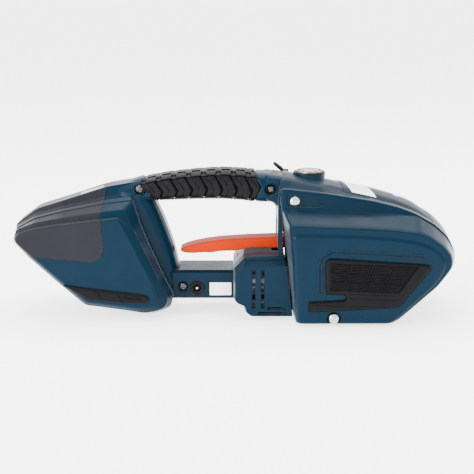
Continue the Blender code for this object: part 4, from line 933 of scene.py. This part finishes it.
def build_top():
    panel = roof_patch("top_trim_panel", PANEL_START, PANEL_END, (-PANEL_HALF, PANEL_HALF), -0.9, 0.55)
    led = (LED_X, 0.0, roof_height(LED_X, 0.0))
    cut(panel, rod("led_way", (led[0], 0.0, led[2] - 9.0), (led[0], 0.0, led[2] + 9.0), 2.7))
    shown(panel, PLASTIC_BLUE, replaces=["top_panel"])

    lens = turned(
        "indicator_lens_dome", [(-1.5, 2.5), (0.6, 2.5), (1.2, 2.1), (1.6, 1.2), (1.7, 0.3)], led,
        (0.0, 0.0, 1.0), 32
    )
    shown(lens, LENS, replaces=["indicator_lens"])

    label = roof_patch("top_blank_label", (79.0, -0.28), (97.0, -0.28), (-18.4, 3.0), 0.6, 0.85, edge=0.1)
    shown(label, LABEL, replaces=["top_label"])

    collar = [
        (95.0, 12.4), (99.0, 12.3), (102.0, 11.9), (105.2, 12.1), (106.3, 11.9), (106.8, 11.4),
        (106.8, 10.4), (106.2, 10.1), (95.0, 10.1)
    ]
    shown(ring_z("button_collar", collar), PLASTIC_BLUE, replaces=["button_bezel"])

    trim = [(97.0, 9.9), (106.6, 9.9), (107.5, 9.6), (107.9, 9.1), (107.9, 8.5), (107.4, 8.2),
            (97.0, 8.2)]
    trim_ring = ring_z("button_trim_ring", trim)
    for k in range(12):
        angle = 2 * math.pi * k / 12
        place = (BUTTON_X + 9.2 * math.cos(angle), 9.2 * math.sin(angle))
        cut(trim_ring, rod("trim_notch", (*place, 106.9), (*place, 109.5), 0.9, 12))
    shown(trim_ring, COPPER)

    shown(
        turned(
            "thumb_button_cap",
            [
                (-1.4, 2.2), (0.0, 2.2), (0.001, 7.6), (9.8, 7.6), (10.6, 7.3), (11.2, 6.8), (11.4, 6.2),
                (11.25, 5.4), (11.0, 4.0), (10.9, 2.0), (10.85, 0.5)
            ], (BUTTON_X, 0.0, 97.0), (0.0, 0.0, 1.0), 64
        ), BUTTON_METAL, "button", ["thumb_button"]
    )


def ring_z(name, profile, sides=64):
    """A ring about the button's axis from a closed (height, radius) profile."""
    sections = []
    for i in range(sides):
        angle = 2 * math.pi * i / sides
        sections.append([(BUTTON_X + r * math.cos(angle), r * math.sin(angle), z) for z, r in profile])
    return loft(name, sections, closed=True)


# ---------------------------------------------------------------- rubber


def build_cover_pad():
    """The ribbed kick pad on the cover: a plain border round rows of ribbed tiles with slanted dividers."""
    levels = [
        (-49.1, PAD_OUTLINE, 0.0), (-51.2, PAD_OUTLINE, 0.6), (-51.7, inset(PAD_OUTLINE, 0.8), 0.3),
        (-51.75, inset(PAD_OUTLINE, 1.2), 0.0)
    ]
    pad = shell_y("cover_kick_pad", levels, corner=1.6)
    top_x, low_x = (67.4, 82.3, 97.4, 111.3, 129.6), (67.4, 79.4, 91.6, 102.9, 116.4)
    top_z, low_z, fall = 48.2, 28.4, 0.045

    def spot(column, depth):
        """A point of the slanted grid: column 0 to 4 across, depth 0 to 1 down."""
        k = min(int(column), 3)
        upper = top_x[k] + (top_x[k + 1] - top_x[k]) * (column - k)
        lower = low_x[k] + (low_x[k + 1] - low_x[k]) * (column - k)
        x = upper * (1 - depth) + lower * depth
        return x, top_z + (low_z - top_z) * depth - fall * (x - top_x[0])

    field = [spot(-0.06, -0.04), spot(3.999, -0.04), spot(3.999, 1.0), spot(-0.06, 1.0)]
    cut(pad, plate_y("pad_field", field, -60.0, -50.3, corner=1.0))
    bars = []
    for column in range(4):
        for row in range(3):
            for rib in range(5):
                start = (row + 0.10 + rib * 0.18) / 3
                end = start + 0.030
                corners = [
                    spot(column + 0.07, start), spot(column + 0.93, start), spot(column + 0.93, end),
                    spot(column + 0.07, end)
                ]
                bars.append(plate_y("pad_rib", corners, -51.6, -50.0))
    for column in (1, 2, 3):
        for row in range(3):
            start, end = (row + 0.12) / 3, (row + 0.88) / 3
            corners = [
                spot(column - 0.03, start), spot(column + 0.03, start), spot(column + 0.03, end),
                spot(column - 0.03, end)
            ]
            bars.append(plate_y("pad_divider", corners, -51.95, -50.0))
    for row in (1, 2):
        middle = row / 3
        corners = [
            spot(0.0, middle - 0.006), spot(3.96, middle - 0.006), spot(3.96, middle + 0.006),
            spot(0.0, middle + 0.006)
        ]
        bars.append(plate_y("pad_row_line", corners, -51.8, -50.0))
    join(pad, *bars)
    for low, high, left in ((25.6, 26.0, 80.0), (22.4, 22.8, 80.6), (17.2, 17.6, 54.6)):
        line = [(left, low), (left, high), (116.0 - (25.6 - low) * 0.2, high - 1.6),
                (116.0 - (25.6 - low) * 0.2, low - 1.6)]
        cut(pad, plate_y("pad_field_line", line, -60.0, -51.4))
    shown(pad, RUBBER_BLACK, replaces=["cover_pad"])


LOBE_PAD = [
    (-128.0, 28.6), (-107.6, 25.6), (-84.0, 22.8), (-68.6, 20.8), (-65.4, 19.2), (-64.4, 17.2),
    (-65.6, 15.2), (-69.0, 14.4), (-84.0, 14.8), (-108.5, 17.0),
]


def build_lobe_pad():
    levels = [(-36.1, LOBE_PAD, 0.0), (-37.0, LOBE_PAD, 0.5), (-37.5, inset(LOBE_PAD, 0.7), 0.0)]
    pad = shell_y("lobe_wear_pad", levels, corner=1.6)
    for x in (-104.0, -90.0):
        slot = [(x, 26.4), (x + 1.2, 26.4), (x + 7.6, 13.0), (x + 6.4, 13.0)]
        cut(pad, plate_y("pad_slot", slot, -40.0, -36.9))
    cut(
        pad,
        plate_y(
            "pad_channel",
            [(-83.6, 19.6), (-70.2, 18.4), (-70.2, 16.9), (-72.0, 16.8), (-72.0, 17.5), (-83.0, 18.5)],
            -40.0, -36.8
        )
    )
    cut(
        pad,
        plate_y(
            "pad_edge_line", [(-120.0, 26.0), (-69.0, 19.6), (-69.0, 19.2), (-118.0, 25.2)], -40.0, -37.1
        )
    )
    shown(pad, RUBBER_BLACK, replaces=["lobe_pad"])


GRIP_STATIONS = (
    (-78.0, 84.6, 98.6), (-70.0, 85.6, 101.6), (-60.0, 86.0, 103.8), (-50.0, 86.4, 105.6),
    (-32.0, 87.0, 107.6), (-12.0, 87.2, 108.8), (4.0, 86.2, 108.2), (18.6, 84.2, 107.0)
)
GRIP_PITCH = 11.0
GRIP_HALF = 17.2
GRIP_ALONG, GRIP_AROUND = 270, 176


def smooth(low, high, value):
    share = min(1.0, max(0.0, (value - low) / (high - low)))
    return share * share * (3 - 2 * share)


def grip_limits(x):
    """Lower and upper height of the sleeve at x, as a smooth curve through its stations."""
    points = GRIP_STATIONS
    if x <= points[0][0]:
        return points[0][1:]
    for k in range(len(points) - 1):
        (x0, *a), (x1, *b) = points[k], points[k + 1]
        if x <= x1:
            before = points[max(k - 1, 0)][1:]
            after = points[min(k + 2, len(points) - 1)][1:]
            t = (x - x0) / (x1 - x0)
            return [
                0.5 * (2 * a[i] + (b[i] - before[i]) * t
                       + (2 * before[i] - 5 * a[i] + 4 * b[i] - after[i]) * t * t
                       + (3 * a[i] - before[i] - 3 * b[i] + after[i]) * t ** 3)
                for i in range(2)
            ]
    return points[-1][1:]


def groove(phase, centre, half_width, ease):
    """1 inside a groove at this phase of a repeating pattern, 0 outside it."""
    away = abs((phase - centre + 0.5) % 1.0 - 0.5)
    return 1.0 - smooth(half_width, half_width + ease, away)


def grip_relief(x, height, across):
    """Height of the rubber over its base surface: chevron ribs on the sides, tiles along the top and below.
    height runs from -1 at the bottom of the section to 1 at its top, across from 0 at the middle to 1."""
    apex = -0.25
    lean = 5.6 * max(0.0, height - apex) ** 1.2 + 4.6 * max(0.0, apex - height)
    phase = (x + lean) / GRIP_PITCH
    chevron = 0.25 + 1.15 * (phase % 1.0)
    chevron -= 1.5 * groove(phase, 0.0, 0.045, 0.04) + 0.55 * groove(phase, 0.5, 0.02, 0.03)
    step = x / GRIP_PITCH + 0.25
    slots = groove(step, 0.5, 0.26, 0.03) * smooth(0.22, 0.27, across) * (
        1.0 - smooth(0.46, 0.51, across)
    )
    gaps = groove(step, 0.0, 0.14, 0.04) * smooth(0.58, 0.62, across)
    seams = groove(step, 0.0, 0.025, 0.02) * (1.0 - smooth(0.58, 0.62, across))
    tiles = 1.3 - 1.3 * slots - 1.1 * gaps - 0.5 * seams
    top = smooth(0.72, 0.75, height)
    below = smooth(0.72, 0.75, -height)
    edge = 1.1 * groove(abs(height), 0.73, 0.018, 0.02)
    return chevron * (1 - top - below) + tiles * (top + below) - edge


def grip_point(x, angle, reach, relief=0.0):
    """A point of the sleeve's squarish section at x; reach is its half width, relief is added all round."""
    across, up = math.cos(angle), math.sin(angle)
    wide = math.copysign(abs(across) ** 0.62, across)
    high = math.copysign(abs(up) ** 0.62, up)
    low, top = grip_limits(x)
    return (x, (reach + relief) * wide, (low + top) / 2 + ((top - low) / 2 + relief) * high)


def grip_end(high):
    """Where the sleeve ends toward the button: an arrow with its point a little above the middle."""
    return 17.4 - 4.4 * abs(high - 0.1)


def grip_start(high):
    """Where the sleeve starts at the battery end: the housing's point runs into it."""
    return -72.5 + 8.6 * smooth(1.0, -0.35, high)


def build_grip():
    """The rubber sleeve as one fine skin over the bowed handle, its relief worked out point by point."""
    outer, inner = [], []
    angles = [2 * math.pi * (k + 0.5) / GRIP_AROUND for k in range(GRIP_AROUND)]
    for i in range(GRIP_ALONG + 1):
        share = i / GRIP_ALONG
        ring, bore = [], []
        for angle in angles:
            across, up = math.cos(angle), math.sin(angle)
            wide = math.copysign(abs(across) ** 0.62, across)
            high = math.copysign(abs(up) ** 0.62, up)
            x = grip_start(high) + (grip_end(high) - grip_start(high)) * share
            ends = smooth(0.0, 0.02, share) * (1 - smooth(0.988, 1.0, share))
            relief = (grip_relief(x, high, abs(wide)) - 1.0) * ends - 1.0 * (1 - ends)
            ring.append(grip_point(x, angle, GRIP_HALF, relief))
            low, top = grip_limits(x)
            bore.append((x, 14.4 * wide, low + 3.2 + (top - 3.3 - low - 3.2) * (1 + high) / 2))
        outer.append(ring)
        inner.append(bore)
    grip = loft("grip_rubber_sleeve", outer + inner[::-1], closed=True)
    shown(grip, RUBBER_GRIP, replaces=["grip_sleeve"], sharp_deg=60.0)

    for name, edge, gap, far, screw in (("handle_shoulder_ring", grip_end, 0.35, 26.5, HANDLE_SCREWS[1]),
                                        ("handle_root_ring", grip_start, -0.35, -78.0, HANDLE_SCREWS[0])):
        build_shoulder(name, edge, gap, far, screw[:2])


def build_shoulder(name, edge, gap, far, screw):
    """The moulded shoulder that the sleeve's end runs into, flush with it, from its edge to x = far."""
    outer, inner = [], []
    for i in range(13):
        share = i / 12
        ring, bore = [], []
        for k in range(GRIP_AROUND // 2):
            angle = 2 * math.pi * (k + 0.5) / (GRIP_AROUND // 2)
            up = math.sin(angle)
            start = edge(math.copysign(abs(up) ** 0.62, up)) + gap
            x = start + (far - start) * share
            ring.append(grip_point(x, angle, GRIP_HALF + 0.1, -0.9 if i == 0 else -0.35))
            bore.append((*grip_point(x, angle, 14.9)[:2], grip_point(x, angle, 0.0, -2.6)[2]))
        outer.append(ring)
        inner.append(bore)
    shoulder = loft(name, outer + inner[::-1], closed=True)
    x, z = screw
    cut(shoulder, rod("shoulder_screw_way", (x, -30.0, z), (x, -9.0, z), 5.2, 48))
    shown(shoulder, PLASTIC_BLUE, sharp_deg=50.0)


# ---------------------------------------------------------------- lever, screws and small pieces

LEVER_TOP = [
    (-42.6, 48.6), (-38.0, 50.6), (-31.0, 52.6), (-22.0, 54.3), (-11.0, 55.7), (8.0, 57.0), (30.0, 57.8),
    (45.9, 57.8)
]
LEVER_LOW = [
    (45.9, 49.4), (30.0, 49.4), (10.0, 49.4), (4.0, 48.3), (-1.5, 46.9), (-8.0, 46.9), (-14.0, 46.6),
    (-19.0, 45.6), (-26.0, 45.7), (-33.0, 45.1), (-39.0, 45.4), (-42.6, 46.8)
]


def build_lever():
    outline = rounded(LEVER_TOP + LEVER_LOW, 1.2, 3)
    levels = capped(
        [(7.0, outline, 0.5), (8.0, inset(outline, 0.2), 0.4), (8.5, inset(outline, 0.7), 0.3)], ease=0.2,
        lip=0.2
    )
    lever = shell_y("squeeze_lever_body", mirrored(levels), corner=0.6, steps=1)
    cut(lever, box("tongue_way", (29.6, -3.3, 50.9), (50.0, 3.3, 56.1)))
    shown(lever, PLASTIC_ORANGE, "rocker", ["squeeze_lever"])


SCREWS = {
    "handle_screw_1": ((-72.0, -13.3, 95.4), (0, -1, 0), 2.9),
    "handle_screw_2": ((25.2, -12.7, 95.4), (0, -1, 0), 2.9),
    "bridge_screw": ((-40.5, -14.7, 21.7), (0, -1, 0), 2.9),
    "cover_screw_top": ((42.0, -28.5, 89.0), (0, -1, 0), 3.6),
    "cover_screw_low": ((70.2, -48.3, 6.6), (0, -1, 0), 3.6),
    "gear_cover_screw_1": ((50.0, 47.3, 66.0), (0, 1, 0), 3.6),
    "gear_cover_screw_2": ((140.0, 47.3, 52.0), (0, 1, 0), 3.6),
    "base_screw_1": ((66.0, -14.0, 2.3), (0, 0, -1), 4.0),
    "base_screw_2": ((100.0, -14.0, 2.3), (0, 0, -1), 4.0),
    "base_screw_3": ((84.0, 10.0, 2.3), (0, 0, -1), 4.0),
}


def build_screws():
    """Pan heads with a rounded crown and a cross recess; the recess is turned a little more on each."""
    for k, (node, (place, axis, radius)) in enumerate(SCREWS.items()):
        high = 2.0 if axis[2] else 2.2
        profile = [
            (0.0, radius - 0.25), (0.2, radius), (high * 0.5, radius), (high * 0.78, radius * 0.86),
            (high * 0.94, radius * 0.6), (high, radius * 0.3)
        ]
        head = turned(node + "_head", profile, place, axis, 48)
        turn = math.radians(20.0 + 37.0 * k)
        side = Vector(axis).orthogonal().normalized()
        other = Vector(axis).cross(side)
        middle = Vector(place) + Vector(axis) * (high + 0.3)
        for angle in (turn, turn + math.pi / 2):
            along = side * math.cos(angle) + other * math.sin(angle)
            across = side * -math.sin(angle) + other * math.cos(angle)
            ring = [
                [middle + along * (u * half) + across * (v * 0.36) - Vector(axis) * depth
                 for u, v in ((-1, -1), (1, -1), (1, 1), (-1, 1))]
                for half, depth in ((2.1, 0.0), (1.1, 1.6))
            ]
            cut(head, loft("cross", ring))
        finish = DARK_STEEL if "cover" not in node else ZINC
        shown(head, finish, replaces=[node])


def build_jack():
    x, z = JACK
    profile = [(0.0, 5.55), (5.2, 5.55), (5.9, 5.2), (6.0, 4.6), (5.7, 3.9), (5.5, 3.4), (1.4, 3.35)]
    body = turned("charging_jack_body", [*profile, (1.4, 0.01)], (x, -12.2, z), (0, -1, 0), 48)
    shown(body, PLASTIC_BLACK, replaces=["charging_jack"])
    pin = turned(
        "charging_jack_pin", [(0.0, 1.05), (3.0, 1.05), (3.4, 0.8), (3.5, 0.3)], (x, -13.7, z),
        (0, -1, 0), 24
    )
    shown(pin, ZINC)


def build_labels():
    (x0, x1), (z0, z1) = LABEL_X, LABEL_Z
    outline = [(x0 + 0.5, z0 + 0.5), (x1 - 0.5, z0 + 0.5), (x1 - 0.5, z1 - 0.5), (x0 + 0.5, z1 - 0.5)]
    label = shell_y(
        "bridge_blank_label",
        [(-16.75, outline, 0.0), (-17.1, outline, 0.1), (-17.2, inset(outline, 0.15), 0.0)], corner=0.5
    )
    shown(label, LABEL, replaces=["bridge_label"])

    (xa, za), (xb, zb) = (-117.0, 89.9), (-99.6, 95.3)
    crown = (8.0, 7.6, 6.0, 3.0, 0.0, -3.0, -6.0, -7.6, -8.0)
    sections = []
    for i in range(13):
        share = i / 12
        x, z = xa + (xb - xa) * share, za + (zb - za) * share
        foot = [(x, y, z - 3.0) for y in (-8.0, 8.0)]
        sections.append(foot + [(x, y, z + 0.25 - 0.4 * (y / 8.0) ** 4) for y in crown])
    shown(loft("charge_display_window", sections), GLASS, replaces=["display_window"])


def build_hanger():
    """The wire hanging loop as one smooth bent wire."""
    pivot = Vector(HANG_PIVOT)
    lean = math.radians(140.0)
    out = Vector((math.cos(lean), 0.0, math.sin(lean)))
    half, reach = 3.8, 12.0 - 3.8 - 1.2
    line = [Vector((0, -half * 0.5, 0)), Vector((0, half * 0.5, 0)),
            Vector((0, half * 0.86, 0)) + out * 0.4,
            Vector((0, half, 0)) + out * 1.6]
    for i in range(13):
        angle = math.pi * i / 12
        line.append(Vector((0, half * math.cos(angle), 0)) + out * (reach + half * math.sin(angle)))
    line += [Vector((0, -half, 0)) + out * 1.6, Vector((0, -half * 0.86, 0)) + out * 0.4]
    curve = bpy.data.curves.new("hang_wire_loop", "CURVE")
    curve.dimensions = "3D"
    curve.bevel_depth = 1.2 * MM
    curve.bevel_resolution = 4
    spline = curve.splines.new("POLY")
    spline.points.add(len(line) - 1)
    spline.use_cyclic_u = True
    for point, step in zip(spline.points, line):
        point.co = (*((pivot + step) * MM + PLACE), 1.0)
    made = bpy.data.objects.new("hang_wire_loop", curve)
    bpy.context.scene.collection.objects.link(made)
    bake_curve(made)
    shown(bpy.data.objects["hang_wire_loop"], PLASTIC_BLACK, "hanger", ["hang_loop"],
          60.0)


WHEEL = (70.15, 21.5)
WHEEL_Y = (30.9, 42.1)
KNURL_VALLEY, KNURL_PEAK, KNURL_TEETH = 16.02, 16.28, 60


def build_wheel_tread():
    """The tension wheel's knurled tread: two sets of crossing ridges round a ring."""
    rows, sides = 12, KNURL_TEETH * 6
    sections = []
    for i in range(sides):
        angle = 2 * math.pi * i / sides
        line = [(12.0, WHEEL_Y[0])]
        for row in range(rows + 1):
            share = row / rows
            ridges = [abs(math.cos(KNURL_TEETH * angle / 2 + turn * math.pi * share * 1.5))
                      for turn in (-1, 1)]
            edge = 0.25 if row in (0, rows) else 0.0
            radius = KNURL_VALLEY + (KNURL_PEAK - KNURL_VALLEY) * max(ridges) ** 2 - edge
            line.append((radius, WHEEL_Y[0] + (WHEEL_Y[1] - WHEEL_Y[0]) * share))
        line.append((12.0, WHEEL_Y[1]))
        sections.append([
            (WHEEL[0] + r * math.cos(angle), y, WHEEL[1] + r * math.sin(angle)) for r, y in line
        ])
    shown(loft("wheel_knurled_tread", sections, closed=True), STEEL_TURNED, "wheel",
          sharp_deg=25.0)


def bake_curve(source):
    """A curve's mesh, in an object of the same name."""
    bpy.context.view_layer.update()
    mesh = bpy.data.meshes.new_from_object(source.evaluated_get(bpy.context.evaluated_depsgraph_get()))
    name = source.name
    bpy.data.objects.remove(source)
    shape = bmesh.new()
    shape.from_mesh(mesh)
    bmesh.ops.remove_doubles(shape, verts=shape.verts, dist=1e-6)
    bmesh.ops.recalc_face_normals(shape, faces=shape.faces)
    shape.to_mesh(mesh)
    shape.free()
    return add(name, mesh)


build_housing()
build_end_cap()
build_side_cover()
build_gear_cover()
build_top()
build_cover_pad()
build_lobe_pad()
build_grip()
build_lever()
build_screws()
build_jack()
build_labels()
build_hanger()
build_wheel_tread()


# ---------------------------------------------------------------- floor, light and camera


def look_at(made, place, target):
    made.location = place
    made.rotation_euler = (Vector(target) - Vector(place)).to_track_quat("-Z", "Y").to_euler()


def soft_light(name, place, target, size, energy, colour=(1.0, 1.0, 1.0), size_y=None):
    data = bpy.data.lights.new(name, "AREA")
    data.shape = "RECTANGLE"
    data.size = size
    data.size_y = size_y or size
    data.energy = energy
    data.color = colour
    made = bpy.data.objects.new(name, data)
    bpy.context.scene.collection.objects.link(made)
    look_at(made, place, target)


def build_stage():
    shape = bmesh.new()
    bmesh.ops.create_grid(shape, x_segments=1, y_segments=1, size=60.0)
    mesh = bpy.data.meshes.new("studio_floor")
    shape.to_mesh(mesh)
    shape.free()
    floor = add("studio_floor", mesh)
    paper = Nodes("studio_paper", 0.85, Emission_Color=(0.97, 0.98, 1.0, 1.0), Emission_Strength=2.2)
    paper.colours(paper.noise(400.0, 3.0), (0.3, (0.90, 0.905, 0.915)), (0.7, (0.93, 0.935, 0.945)))
    floor.data.materials.append(paper.material)

    world = bpy.data.worlds.new("studio")
    world.use_nodes = True
    world.node_tree.nodes["Background"].inputs["Color"].default_value = (0.97, 0.98, 1.0, 1.0)
    world.node_tree.nodes["Background"].inputs["Strength"].default_value = 2.8
    bpy.context.scene.world = world

    middle = (0.0, 0.0, 0.05)
    soft_light("top_softbox", (0.05, 0.25, 1.2), middle, 1.1, 22.0)
    soft_light("left_front_box", (-1.0, -0.8, 0.45), middle, 0.7, 34.0)
    soft_light("right_back_box", (1.1, 0.5, 0.6), middle, 0.6, 6.0)


def build_camera():
    data = bpy.data.cameras.new("camera")
    data.lens = 80.05
    data.sensor_width = 36.0
    data.clip_end = 200.0
    camera = bpy.data.objects.new("camera", data)
    bpy.context.scene.collection.objects.link(camera)
    elevation, distance = math.radians(13.0), 0.8
    target = PLACE + Vector((0.0, 0.0, 56.0)) * MM
    away = Vector((0.0, -math.cos(elevation), math.sin(elevation)))
    look_at(camera, target + away * distance, target)
    bpy.context.scene.camera = camera


build_stage()
build_camera()
